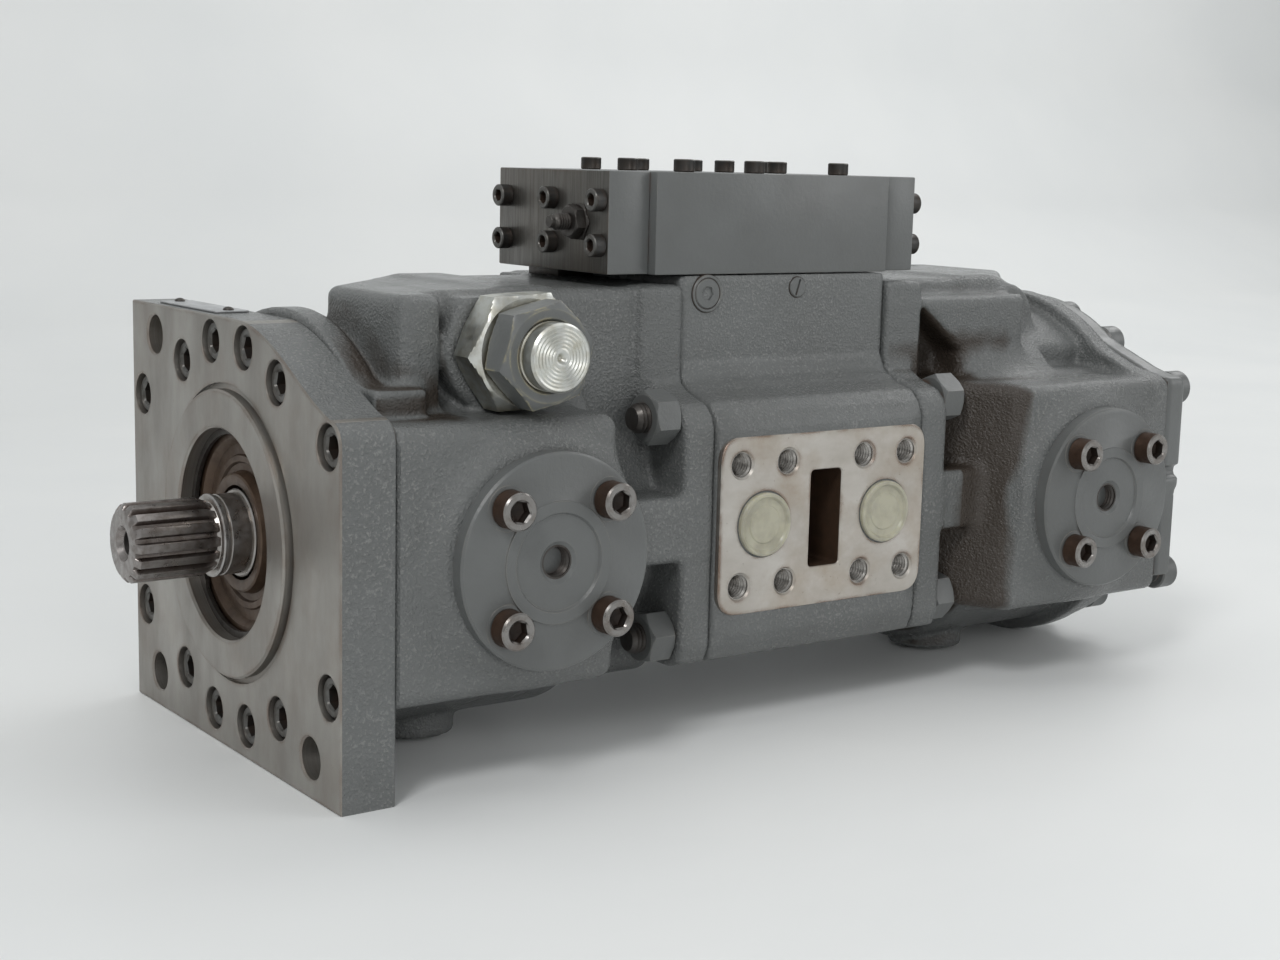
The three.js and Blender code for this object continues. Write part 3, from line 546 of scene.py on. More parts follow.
class Look:
    """A procedural material: each method adds nodes and returns an output socket."""

    def __init__(self, name, colour, roughness, metallic=0.0):
        self.material = bpy.data.materials.new(name)
        self.material.use_nodes = True
        self.tree = self.material.node_tree
        self.shader = self.tree.nodes["Principled BSDF"]
        self.shader.inputs["Base Color"].default_value = (*colour, 1)
        self.shader.inputs["Roughness"].default_value = roughness
        self.shader.inputs["Metallic"].default_value = metallic
        self.material.diffuse_color = (*colour, 1)
        self.point = self.add("ShaderNodeTexCoord").outputs["Object"]

    def add(self, kind, inputs=(), **settings):
        node = self.tree.nodes.new(kind)
        for key, value in settings.items():
            setattr(node, key, value)
        for key, value in dict(inputs).items():
            if isinstance(value, bpy.types.NodeSocket):
                self.tree.links.new(value, node.inputs[key])
            else:
                node.inputs[key].default_value = value
        return node

    def stretched(self, scale):
        return self.add("ShaderNodeMapping", {"Vector": self.point, "Scale": scale}).outputs[0]

    def noise(self, scale, detail, roughness=0.55, vector=None):
        return self.add("ShaderNodeTexNoise", {
            "Vector": vector or self.point, "Scale": scale, "Detail": detail,
            "Roughness": roughness}).outputs["Fac"]

    def between(self, value, low, high, to_low=0.0, to_high=1.0):
        return self.add("ShaderNodeMapRange", {
            "Value": value, "From Min": low, "From Max": high,
            "To Min": to_low, "To Max": to_high}).outputs["Result"]

    def math(self, operation, a, b):
        return self.add("ShaderNodeMath", {0: a, 1: b}, operation=operation).outputs[0]

    def times(self, a, b):
        return self.math("MULTIPLY", a, b)

    def patches(self, scale, detail, low, high, to_low=0.0, to_high=1.0, roughness=0.55):
        return self.between(self.noise(scale, detail, roughness), low, high, to_low, to_high)

    def mix(self, factor, a, b):
        a, b = ((*colour, 1) if isinstance(colour, tuple) else colour for colour in (a, b))
        return self.add("ShaderNodeMix", {0: factor, 6: a, 7: b}, data_type="RGBA").outputs[2]

    def hollows(self, distance, low=0.35, high=0.85):
        """1 in corners and pockets, 0 in the open."""
        node = self.add("ShaderNodeAmbientOcclusion", {"Distance": distance}, samples=6)
        return self.between(node.outputs["AO"], low, high, 1.0, 0.0)

    def rims(self, reach):
        """1 within reach of an edge, 0 on the flats."""
        bent = self.add("ShaderNodeBevel", {"Radius": reach}, samples=4).outputs[0]
        flat = self.add("ShaderNodeNewGeometry").outputs["Normal"]
        likeness = self.add("ShaderNodeVectorMath", {0: bent, 1: flat}, operation="DOT_PRODUCT")
        return self.between(likeness.outputs["Value"], 0.99, 0.9)

    def set(self, socket, value):
        self.tree.links.new(value, self.shader.inputs[socket])

    def over(self, colour, other, *masks):
        """A colour with another one laid over it where all the masks are high."""
        mask = masks[0]
        for factor in masks[1:]:
            mask = self.times(mask, factor)
        return self.mix(mask, colour, other)

    def finished(self, colour, roughness, *layers):
        """The material, with bumps in layers of (height, depth in mm), the first undermost."""
        self.set("Base Color", colour)
        if roughness:
            self.set("Roughness", roughness)
        normal = None
        for height, depth in layers:
            inputs = {"Height": height, "Distance": depth * MM, "Strength": 1.0}
            if normal:
                inputs["Normal"] = normal
            normal = self.add("ShaderNodeBump", inputs).outputs[0]
        self.set("Normal", normal)
        return self.material


PAINT = (0.128, 0.134, 0.133)
PAINT_DULL = (0.108, 0.112, 0.110)
# Dark brown for the castings' hollows: primer showing through, and painted shade.
PRIMER_AND_SHADE = (0.034, 0.023, 0.015)
RUST = (0.13, 0.055, 0.024)


def painted(name, lumps, primer_and_shade):
    """Satin grey paint over a cast skin, thin and brown in the hollows; that brown is partly primer
    and partly painted shade, and light specks on the grain are a painted sparkle highlight.
    """
    look = Look(name, PAINT, 0.4)
    colour = look.mix(look.patches(14, 4, 0.35, 0.7), PAINT, PAINT_DULL)
    swell = look.noise(820, 3, 0.55)
    # Painted sparkle highlight: light specks on the crests of the grain, partly worn paint.
    colour = look.over(colour, (0.24, 0.24, 0.235), look.between(swell, 0.54, 0.66),
                       look.patches(20, 4, 0.3, 0.6), 0.6)
    # The hollow attribute works like ambient occlusion: the dark brown laid where it is high is
    # partly primer and partly painted shade.
    hollow = look.add("ShaderNodeAttribute", attribute_name="hollow").outputs["Fac"]
    patchy = look.math("ADD", hollow, look.patches(30, 5, 0.2, 0.8, -0.22, 0.22))
    colour = look.over(colour, PRIMER_AND_SHADE, look.between(patchy, 0.3, 0.56, 0, primer_and_shade))
    colour = look.over(colour, RUST, look.patches(260, 5, 0.7, 0.78, 0, 0.6, roughness=0.7))
    return look.finished(colour, look.patches(55, 4, 0.3, 0.7, 0.18, 0.3),
                         (look.noise(180, 2, 0.5), lumps * 0.5), (swell, lumps))


def smooth_paint(name, stains=0.35, scuffs_and_sheen=(0.2, 0.19, 0.17), reach=0.0007):
    """The same paint on machined covers and plates, lighter along its edges: partly scuffs, partly
    a painted rim highlight.
    """
    look = Look(name, PAINT, 0.38)
    colour = look.mix(look.patches(22, 4, 0.35, 0.7), PAINT, PAINT_DULL)
    # Lighter patches along the edges: scuffed paint, and a painted rim highlight.
    colour = look.over(colour, scuffs_and_sheen, look.rims(reach), look.patches(60, 4, 0.45, 0.56), 0.7)
    colour = look.over(colour, RUST, look.hollows(0.004, 0.3, 0.7),
                       look.patches(90, 5, 0.45, 0.62), stains)
    return look.finished(colour, look.patches(70, 4, 0.3, 0.7, 0.3, 0.42),
                         (look.noise(420, 3), 0.16), (look.noise(1300, 2), 0.05))


def bare_iron(name, colour, dull, stretch, rusty, brown=(0.17, 0.105, 0.06)):
    """Machined iron or steel with tool marks along one way and a bloom of rust."""
    look = Look(name, colour, 0.36, 0.85)
    streaks = look.noise(1.0, 4, 0.6, look.stretched(stretch))
    now = look.mix(look.between(streaks, 0.3, 0.7), colour, dull)
    now = look.over(now, brown, look.patches(26, 6, 0.46, 0.68, 0, 0.75, roughness=0.65), rusty)
    now = look.over(now, RUST, look.rims(0.003), look.patches(60, 5, 0.4, 0.58), rusty + 0.2)
    now = look.over(now, (0.08, 0.04, 0.02),
                    look.patches(330, 4, 0.66, 0.74, 0, 0.7, roughness=0.7), rusty)
    return look.finished(now, look.between(streaks, 0.3, 0.7, 0.3, 0.48),
                         (streaks, 0.05), (look.noise(800, 3), 0.05))


def plain_metal(name, colour, roughness, grime_and_shade, metallic, grain=700, reach=0.005):
    """A small metal part with grime in patches, and darker in its corners as painted shade."""
    look = Look(name, colour, roughness, metallic)
    now = look.over(colour, grime_and_shade, look.patches(170, 5, 0.42, 0.66, roughness=0.65), 0.55)
    # Painted shade: the grime colour laid into corners found by ambient occlusion.
    now = look.over(now, grime_and_shade, look.hollows(reach), 0.8)
    shine = look.patches(240, 3, 0.3, 0.7, roughness - 0.06, roughness + 0.14)
    return look.finished(now, shine, (look.noise(grain, 3), 0.04))


def cap_plastic():
    look = Look("cap_plastic", (0.56, 0.54, 0.42), 0.3)
    look.shader.inputs["Subsurface Weight"].default_value = 0.35
    look.shader.inputs["Subsurface Radius"].default_value = (0.004, 0.0035, 0.002)
    look.shader.inputs["Transmission Weight"].default_value = 0.25
    dusty = look.mix(look.patches(120, 5, 0.4, 0.65), (0.57, 0.55, 0.43), (0.44, 0.42, 0.33))
    return look.finished(dusty, None, (look.noise(160, 2), 0.15))


def pale_floor():
    look = Look("studio_floor", (0.78, 0.79, 0.79), 0.5)
    pale = look.mix(look.patches(3, 3, 0.3, 0.7), (0.76, 0.775, 0.775), (0.80, 0.81, 0.805))
    return look.finished(pale, None, (look.noise(30, 2), 0.4))


CASTING = painted("painted_casting", 0.85, 0.9)
BLOCK_PAINT = painted("block_casting", 0.55, 0.5)
COVER_PAINT = smooth_paint("painted_cover")
FLANGE_FACE = bare_iron("machined_flange", (0.36, 0.345, 0.32), (0.27, 0.255, 0.235),
                        (900, 40, 14), 0.25)
PAD_IRON = bare_iron("port_pad_iron", (0.55, 0.525, 0.49), (0.43, 0.40, 0.36), (30, 300, 60), 0.8,
                     (0.34, 0.27, 0.20))
GROUND = plain_metal("ground_steel", (0.42, 0.41, 0.40), 0.3, (0.24, 0.21, 0.18), 0.95)
SPLINE_STEEL = plain_metal("spline_steel", (0.33, 0.31, 0.30), 0.3, (0.10, 0.07, 0.055), 0.95)
ZINC = plain_metal("bright_zinc", (0.62, 0.63, 0.60), 0.34, (0.40, 0.37, 0.28), 1.0, 300)
BRASSY = plain_metal("bronze", (0.5, 0.31, 0.12), 0.32, (0.3, 0.18, 0.07), 1.0)
DARK = plain_metal("dark_steel", (0.085, 0.08, 0.075), 0.4, (0.04, 0.03, 0.025), 0.75)
BRUSHED = bare_iron("brushed_dark_steel", (0.17, 0.165, 0.155), (0.115, 0.11, 0.10),
                    (60, 900, 40), 0.15)
BLACK = plain_metal("screw_black", (0.045, 0.045, 0.044), 0.38, (0.06, 0.042, 0.03), 0.6)
BLACK_RIM = plain_metal("screw_black_rim", (0.14, 0.138, 0.132), 0.34, (0.05, 0.04, 0.03), 0.8)
# Near-black for the insides of hex sockets: painted shade.
SOCKET_SHADE = plain_metal("socket_shade", (0.022, 0.02, 0.018), 0.5, (0.05, 0.03, 0.02), 0.3)
WORN = plain_metal("screw_worn_rim", (0.27, 0.26, 0.25), 0.3, (0.13, 0.10, 0.08), 0.95)
RUSTY = plain_metal("screw_rusty", (0.085, 0.05, 0.034), 0.4, (0.045, 0.03, 0.022), 0.6)
LINING = plain_metal("thread_steel", (0.60, 0.58, 0.55), 0.22, (0.03, 0.022, 0.016), 1.0,
                     reach=0.009)
NUT_PAINT = smooth_paint("painted_nut", 0.7)
SCUFFED = smooth_paint("scuffed_nut", 0.3, (0.50, 0.44, 0.25), 0.0016)
PRIMED = plain_metal("primer_brown", (0.06, 0.035, 0.022), 0.35, (0.03, 0.02, 0.014), 0.1)
TAG = plain_metal("name_plate_alloy", (0.50, 0.51, 0.52), 0.38, (0.33, 0.33, 0.33), 0.7)
BROWN = plain_metal("seal_brown", (0.10, 0.065, 0.043), 0.36, (0.045, 0.026, 0.017), 0.45)
CAP = cap_plastic()
BLACK_SCREW = [BLACK_RIM, BLACK, SOCKET_SHADE]


# ---- small parts

FACES = {
    "-x": ((0, -1, 0), (0, 0, 1)), "+x": ((0, 1, 0), (0, 0, 1)),
    "-y": ((1, 0, 0), (0, 0, 1)), "+y": ((-1, 0, 0), (0, 0, 1)),
    "+z": ((1, 0, 0), (0, 1, 0)), "-z": ((1, 0, 0), (0, -1, 0)),
}


def facing(side, x, y, z):
    """A local frame at x, y, z whose +Z points to a side; its x and y are as in FACES."""
    across, up = (Vector(v) for v in FACES[side])
    out = across.cross(up)
    turn = Matrix((across, up, out)).transposed().to_4x4()
    return shift(x, y, z) @ turn


def shift(x, y, z):
    return Matrix.Translation((x, y, z))


def spin(angle):
    return Matrix.Rotation(radians(angle), 4, "Z")


def add_screws(name, places, step, radius, height, socket, materials=BLACK_SCREW):
    """Knurled socket heads, each seat at local z = 0 and each turned by a step from the last. The
    three materials are those of rim, sides and socket; the socket's near-black is painted shade."""
    c = radius * 0.09
    profile = [(-1.2, 0), (-1.2, radius * 0.6), (0, radius * 0.6), (0, radius - c), (c, radius),
               (c * 1.6, radius, KNURLED), (height - c * 3, radius, KNURLED),
               (height - c * 2.4, radius), (height - c, radius),
               (height, radius - c), (height, socket * 1.24), (height - socket * 0.2, socket, 6),
               (height - socket * 1.25, socket, 6), (height - socket * 1.6, 0)]
    shades = [1] * 8 + [0] * 3 + [2] * 2
    for n, place in enumerate(places):
        head = turned(profile, place @ spin(step * n), 60, shades=shades)
        add_piece(f"{name}_{n + 1}", head, materials)


def washer_ring(inner, outer, height, place):
    e = height * 0.3
    profile = [(-0.5, inner), (-0.5, outer), (height - e, outer), (height, outer - e),
               (height, inner + e), (height - e, inner)]
    return turned(profile, place, 48, closed=True)


def hex_body(flats, low, high, bore, place, turn=0.0):
    """A hexagon with its corners turned down to a cone at both ends, bored through or solid."""
    r = flats / 2
    cone = [(0.0, 0.95), (0.03, 1.0), (0.06, 1.05), (0.09, 1.1), (0.12, 1.16)]
    rise = [(low + r * a, r, 6, r * b) if a else (low, r * b) for a, b in cone]
    fall = [(high - r * a, r, 6, r * b) if a else (high, r * b) for a, b in reversed(cone)]
    profile = rise + fall
    if bore:
        profile = [(low, bore)] + profile + [(high, bore + 0.8), (high - 0.8, bore)]
        return turned(profile, place @ spin(turn), 72, closed=True)
    return turned([(low, 0)] + profile + [(high, 0)], place @ spin(turn), 72)


def thread(radius, low, high, pitch, place, inside=False, end_chamfer=True):
    """A rod, or the lining of a hole, with thread ridges along it."""
    depth = pitch * 0.55
    count = max(2, int((high - low) / pitch))
    step = (high - low) / count
    ridges = []
    for n in range(count):
        z = low + n * step
        ridges += [(z, radius - depth), (z + step * 0.45, radius), (z + step * 0.6, radius)]
    if inside:
        outer, end = radius + 1.2, low - 0.8
        bottom = [(end, outer), (end, 0), (low - 0.3, 0), (low - 0.3, radius - depth)]
        mouth = [(high, radius - depth * 0.3), (high, outer)]
        return turned(bottom + ridges + mouth, place, 36, closed=True)
    if end_chamfer:
        ridges = [p for p in ridges if p[0] < high - 1.2 * pitch]
        ridges += [(high - pitch, radius - depth * 0.2), (high, radius - depth * 1.6)]
    return turned([(low, 0)] + ridges + [(ridges[-1][0], 0)], place, 48)


def bevelled_box(low, high, width):
    low, high = Vector(low), Vector(high)
    size = Matrix.Diagonal((*(high - low), 1))
    shape = bmesh.new()
    bmesh.ops.create_cube(shape, size=1.0, matrix=Matrix.Translation((high + low) / 2) @ size)
    bmesh.ops.bevel(shape, geom=shape.edges[:], offset=width, segments=2, affect="EDGES",
                    profile=0.5, clamp_overlap=True)
    mesh = shaped(shape)
    mesh.transform(TO_WORLD)
    return mesh


# ---- castings

def end_cover_field(p):
    """The rear end cover, as a unit's outer end: round with straight sides and shoulders."""
    low, high = 24.9, 37.4
    body = rod_field(p, "x", low, high, 95.5, edge=1.5)
    body = blend(body, prism_field(p, "x", low, high, SHOULDERS, 1.5), 2)
    body = blend(body, box_field(p, (low, -109, -50), (high, 109, 58), 1.5), 5)
    notch = rod_field(p, "x", low - 9, high + 9, 3.2, (109.5, 7.5), 1)
    body = carve(body, notch, 1.5)
    hub = rod_field(p, "x", low - 5, high, 40, edge=2)
    body = blend(body, hub, 4)
    body = carve(body, rod_field(p, "x", low - 9, low - 1, 30, edge=1), 1.5)
    return np.maximum(body, p[0] - high)


def ramp(value, start, end):
    """0 before start, 1 past end."""
    return np.clip((value - start) / (end - start), 0, 1)


def front_primer_and_shade(p, hollow):
    """Brown primer and painted shade beside the stop block only; none in the lower hollows."""
    return 0.8 * hollow * ramp(p[0], 72, 60) * ramp(p[2], 40, 52)


def rear_primer_and_shade(p, hollow):
    """Brown primer and painted shade all over the slanted wall and none beside the end cover."""
    height = abs(p[2])
    start = 144 - 0.1 * height - 0.08 * p[2]
    wall = ramp(p[0], start, start + 12) * ramp(p[0], 182, 175) * ramp(p[1], 50, 58)
    beside_rib = 1 - ramp(p[0], 166, 170) * ramp(height, 24, 17)
    return np.maximum(hollow * ramp(p[0], 96, 112), wall * beside_rib * ramp(height, 64, 54))


def case_corners(end):
    return (CASE_OUTER[end] - 6, -116, -SHAFT_HEIGHT - 1), (CASE_END + 5, 116, 117)


# Each casting's function below limits where its hollows are painted dark brown, as primer and
# painted shade.
for name, field, (low, high), place, grime_and_shade, material, sharp in (
        ("front_housing", case_field("front"), case_corners("front"), UNIT["front"], front_primer_and_shade,
         CASTING, 60),
        ("rear_housing", case_field("rear"), case_corners("rear"), UNIT["rear"], rear_primer_and_shade,
         CASTING, 60),
        ("valve_block", block_field, ((BLOCK_FRONT - 5, -98, -80), (BLOCK_REAR + 5, 98, 120)),
         UNIT["front"], lambda p, hollow: hollow * 0.3, BLOCK_PAINT, 55),
        ("rear_end_cover", end_cover_field, ((15, -113, -100), (42, 113, 100)), UNIT["rear"],
         lambda p, hollow: hollow, COVER_PAINT, 50)):
    shell = cast(field, low, high, place, grime_and_shade)
    add_piece(name + "_casting", shell, material, [name], sharp=sharp)


# ---- mounting flange

FLANGE_TOP = 94.6
FLANGE_HALF = 108.0
HOLE_PITCH = 80.5


def flange_outline():
    """Seen from the drive end, so across is -y: one top corner is swept away."""
    corner = []
    start, c1, c2, end = (Vector(p) for p in ((8, 94.6), (45, 94.6), (70, 70), (98, 62)))
    for n in range(17):
        t = n / 16
        corner.append(start * (1 - t) ** 3 + c1 * 3 * t * (1 - t) ** 2
                      + c2 * 3 * t * t * (1 - t) + end * t ** 3)
    ear = [Vector((98 + 10 * sin(a), 52 + 10 * cos(a)))
           for a in (pi / 2 * n / 8 for n in range(1, 9))]
    return [Vector((-FLANGE_HALF, FLANGE_TOP))] + corner + ear + [
        Vector((FLANGE_HALF, -SHAFT_HEIGHT)), Vector((-FLANGE_HALF, -SHAFT_HEIGHT))]


face = facing("-x", 0, 0, 0)
mounting_holes = [(-HOLE_PITCH, HOLE_PITCH, 9, None, 0.8), (-HOLE_PITCH, -HOLE_PITCH, 9, None, 0.8),
                  (HOLE_PITCH, -HOLE_PITCH, 9, None, 0.8)]
counterbores = [(y, z, 9.6, 13, 0.4) for y, z in SCREW_PATTERN]
hub_hole = [(0, 0, 66.2, None, 0.1)]
plate_mesh = plate(flange_outline(), FLANGE_THICKNESS, face,
                   mounting_holes + counterbores + hub_hole, 0.7, 64)
for polygon in plate_mesh.polygons:
    middle = (polygon.center / MM) - ORIGIN
    at_rim = abs(middle.y) > FLANGE_HALF - 0.9 or middle.z > 53 or middle.z < -SHAFT_HEIGHT + 0.9
    inner = any(hypot(middle.y + y, middle.z - z) < 11.5
                for y, z, *_ in mounting_holes + counterbores)
    flat = abs(polygon.normal.x) > 0.5
    polygon.material_index = 0 if inner or (flat and polygon.normal.x < 0) or (
        not at_rim and hypot(middle.y, middle.z) < 70) else 1
add_piece("flange_plate", plate_mesh, [FLANGE_FACE, CASTING], ["mounting_flange"])
hub = turned([
    (-24.9, 36), (-24.9, 66.3), (-1.7, 66.3), (-1.7, 64.4), (-1.2, 63.5), (2.6, 63.5), (3.5, 62.6),
    (3.5, 47.7), (2.6, 46.7), (-11.5, 46.7), (-12, 46.2), (-12, 36.6), (-12.6, 36)], face, 128,
    closed=True)
add_piece("flange_pilot", hub, FLANGE_FACE)

add_screws("flange_screw", [facing("-x", 12.7, y, z) for y, z in SCREW_PATTERN], 17,
           8.7, 10.5, 4.6)

cover = turned([
    (-11.6, 21), (-11.6, 46.3), (-6.4, 46.3), (-5.6, 45.4), (-5.6, 41.6), (-6.4, 40.6), (-8.6, 39),
    (-8.6, 34.5), (-7.7, 33.8), (-7.7, 31.2), (-8.8, 30.4), (-8.8, 27.4), (-4.4, 26.2),
    (-3.8, 25.4), (-3.8, 22.4), (-4.6, 21)], face, 96, closed=True)
add_piece("shaft_seal_cover", cover, BROWN, ["seal_cover"])

ring = []
for n in range(89):
    angle = radians(8 + 344 * n / 88)
    near_end = min(n, 88 - n) < 3
    inner, outer = (41.2 if near_end else 43.6), 46.9
    ring.append([(r * cos(angle), r * sin(angle), z)
                 for r, z in ((inner, -4.5), (outer, -4.5), (outer, -2.7), (inner, -2.7))])
verts = [p for section in ring for p in section]
faces = [(4 * n + a, 4 * n + (a + 1) % 4, 4 * n + 4 + (a + 1) % 4, 4 * n + 4 + a)
         for n in range(88) for a in range(4)] + [(0, 1, 2, 3), (355, 354, 353, 352)]
snap = mesh_from(verts, faces, face @ spin(205))
add_piece("snap_ring", snap, DARK)

name_plate = bevelled_box((4.5, 21, FLANGE_TOP + 0.1), (20.5, 85, FLANGE_TOP + 1.0), 0.3)
add_piece("name_plate", name_plate, TAG)
for n, y in enumerate((25.5, 80.5)):
    rivet = turned([(-0.8, 0), (-0.8, 1.9), (0.3, 2.5), (1.0, 2.1), (1.5, 1.1), (1.7, 0)],
                   facing("+z", 12.5, y, FLANGE_TOP + 0.9), 24)
    add_piece(f"name_plate_rivet_{n + 1}", rivet, DARK, sharp=40)


# ---- drive shaft

TEETH = 15
SPLINE_TIP, SPLINE_ROOT = 17.2, 14.6
TOOTH = ((-0.5, 0.0), (-0.42, 0.0), (-0.36, 0.06), (-0.31, 0.5), (-0.27, 0.94), (-0.24, 1.0),
         (0.0, 1.0), (0.24, 1.0), (0.27, 0.94), (0.31, 0.5), (0.36, 0.06), (0.42, 0.0))


def spline_ring(z, height):
    """The splined section at z; height scales the teeth, 1 is full."""
    ring = []
    for tooth in range(TEETH):
        for part, rise in TOOTH:
            angle = 2 * pi * (tooth + part) / TEETH
            r = SPLINE_ROOT + (SPLINE_TIP - SPLINE_ROOT) * rise * height
            ring.append((r * cos(angle), r * sin(angle), z))
    return ring


def loft(rings, place):
    """A body through rings of points of equal count, its ends closed."""
    count = len(rings[0])
    verts = [p for ring in rings for p in ring]
    faces = [(a * count + n, a * count + (n + 1) % count, (a + 1) * count + (n + 1) % count,
              (a + 1) * count + n) for a in range(len(rings) - 1) for n in range(count)]
    faces += [tuple(range(count)), tuple(range(len(verts) - count, len(verts)))]
    return mesh_from(verts, faces, place)


def round_ring(z, radius):
    """A circle at z with as many points as a splined section."""
    count = TEETH * len(TOOTH)
    return [(radius * cos(a), radius * sin(a), z)
            for a in (2 * pi * (n / count - 0.5 / TEETH) for n in range(count))]


rings = [spline_ring(8.0, 0.0), spline_ring(12.0, 0.55), spline_ring(15, 1.0),
         spline_ring(45.6, 1.0), spline_ring(46.9, 0.5), spline_ring(47.6, 0.05),
         round_ring(47.6, 7.7), round_ring(45.2, 5.9), round_ring(45.0, 5.2), round_ring(24, 5.2),
         round_ring(21, 0.5)]
spline = loft(rings, face)
journal = turned([
    (-257, 0), (-257, 13.4), (-256.4, 14), (-195, 14), (-195, 16.5), (-60, 16.5), (-60, 19.5),
    (-4.6, 19.5), (-4.0, 18.9), (-4.0, 17.8), (5.0, 17.8), (5.4, 17.4), (5.4, 16.8), (6.9, 16.8),
    (6.9, 17.9), (7.3, 18.2), (8.6, 18.2), (9.2, 17.6), (9.4, 15.4), (11.0, 14.6), (11.0, 0)],
    face, 72)
add_piece("drive_shaft_spline", spline, SPLINE_STEEL, ["drive_shaft"], "rotor", 35)
add_piece("drive_shaft_journals", journal, GROUND, body="rotor")


# ---- side covers and stops

for end in ("front", "rear"):
    for letter, side in (("a", "-y"), ("b", "+y")):
        sign = -1 if side == "-y" else 1
        place = UNIT[end] @ facing(side, COVER_X, sign * COVER_SEAT, 0)
        name = f"side_cover_{end}_{letter}"
        disk = turned([
            (0.25, 0), (0.25, 45.7), (0.9, 46.4), (8.7, 46.4), (9.6, 45.5), (9.9, 44.2),
            (9.9, 27.0), (10.3, 26.3), (10.9, 26.0), (10.9, 21.2), (10.4, 20.8), (9.8, 20.4),
            (9.8, 9.0), (9.4, 8.5), (8.3, 6.9), (3.0, 6.9), (3.0, 0)], place, 96)
        lining = thread(6.8, 3.2, 8.6, 1.5, place, inside=True)
        corners = [place @ shift(COVER_SCREW * a, COVER_SCREW * b, 10)
                   for a, b in ((-1, -1), (1, -1), (1, 1), (-1, 1))]
        seats = [washer_ring(8.1, 9.6, 0.25, corner @ shift(0, 0, -0.1)) for corner in corners]
        add_piece(name + "_plate", joined(disk, *seats), COVER_PAINT, [name])
        add_piece(name + "_thread", lining, DARK)
        add_screws(name + "_screw", [corner @ spin(11) for corner in corners], 23,
                   8.0, 9.7, 4.15, [WORN, RUSTY, SOCKET_SHADE])

    place = UNIT[end] @ facing("-y", COVER_X, 0, STOP_Z)
    adapter = hex_body(48, 78.3, 95.9, 0, place, -27)
    rod = turned([(46, 0), (46, 13), (47, 14), (79, 14), (79, 0)], place, 48)
    add_piece(f"stop_adapter_{end}", joined(adapter, rod), ZINC, [f"stop_screw_{end}"])
    ridges = thread(14.6, 95.0, 114.6, 1.5, place, end_chamfer=False)
    cuts = [(121.6 - 0.4 * (k % 2), 13.2 - 0.8 * k) for k in range(13)]
    tip = turned([(114, 0), (114, 14.5), (120.6, 14.5), (121.6, 13.6), *cuts, (121.6, 2.8),
                  (121.3, 2.2), (119.6, 0.7), (119.6, 0)], place, 72)
    add_piece(f"stop_thread_{end}", joined(ridges, tip), ZINC)
    nut = hex_body(41, 96.2, 112.8, 14.9, place, -16)
    add_piece(f"stop_lock_nut_{end}", nut, SCUFFED, [f"stop_nut_{end}"])

    for n, (y, z) in enumerate(TIE_BOLTS):
        seat = UNIT[end] @ facing("-x", TIE_NUT_X, y, z) @ spin(31 * n + 8)
        nut = hex_body(22, 0.0, 13.5, 0, seat)
        add_piece(f"tie_nut_{end}_{n + 1}", nut, NUT_PAINT)
        stud = thread(6.9, 12.5, 20.0, 2.0, seat)
        add_piece(f"tie_stud_{end}_{n + 1}", stud, DARK)

seats = [UNIT["rear"] @ facing("-x", 24.7, y, z) for y, z in SCREW_PATTERN]
add_screws("rear_cover_screw", seats, 13, 9.0, 11.6, 4.9, [NUT_PAINT, NUT_PAINT, SOCKET_SHADE])


# ---- ports

def add_thread_linings(name, bolts, side, y, deep):
    for n, (x, z) in enumerate(bolts):
        lining = thread(6.1, deep, -0.9, 1.75, facing(side, x, y, z), inside=True)
        add_piece(f"{name}_thread_{n + 1}", lining, LINING)


pad_holes = [(x, z, 6.0, None, 0.9) for x, z in PORT_BOLTS]
pad_holes += [(x, 0, 15.6, None, 0.4) for x in PORT_XS]
pad_holes.append((MIDDLE, 0, rectangle(-9.55, 9.55, -23.4, 23.4, 2.5), None, 0.4))
pad = plate(rectangle(MIDDLE - 63.4, MIDDLE + 63.4, -42, 42, 12, 7), 3.4,
            facing("-y", 0, PAD_Y, 0), pad_holes, 0.5)
add_piece("port_pad", pad, PAD_IRON)
trough = plate(rectangle(-10.5, 10.5, -24.3, 24.3, 3), 30.6, facing("-y", MIDDLE, PAD_Y + 0.5, 0),
               [(0, 0, rectangle(-9.5, 9.5, -23.3, 23.3, 2.5), 29.4, 0.2)], 0.2)
add_piece("slot_wall", trough, PRIMED)
add_thread_linings("port", PORT_BOLTS, "-y", PAD_Y, -21)
for n, x in enumerate(PORT_XS):
    place = facing("-y", x, PAD_Y, 0)
    wall = turned([(-33, 0), (-33, 14), (-1.2, 14), (-1.2, 15.9), (-0.9, 15.9), (-0.9, 12.7),
                   (-1.4, 12.5), (-32, 12.5), (-32, 0)], place, 48)
    add_piece(f"port_bore_{n + 1}", wall, DARK)
    cap = turned([(-12, 0), (-12, 10.6), (-12, 12.1), (-0.6, 12.1), (-0.6, 14.6), (-0.2, 15),
                  (1.5, 15), (2.1, 14.4), (2.1, 13.2), (1.5, 12.6), (0.9, 12.2), (0.7, 11.4),
                  (0.7, 9.2), (1.1, 8.7), (1.1, 0)], place, 72)
    end = ("front", "rear")[n]
    add_piece(f"port_cap_{end}_shell", cap, CAP, [f"port_cap_{end}"])

pad_holes = [(x - MIDDLE, z - SUCTION_Z, 6.0, None, 0.8) for x, z in SUCTION_BOLTS]
suction = plate(rectangle(-63.4, 63.4, -42, 42, 12, 7), 3.4,
                facing("+y", MIDDLE, -PAD_Y, SUCTION_Z),
                [(0, 0, 31.5, None, 0.6)] + pad_holes, 0.6, 64)
add_piece("suction_pad", suction, PAD_IRON)
add_thread_linings("suction", SUCTION_BOLTS, "+y", -PAD_Y, -19)

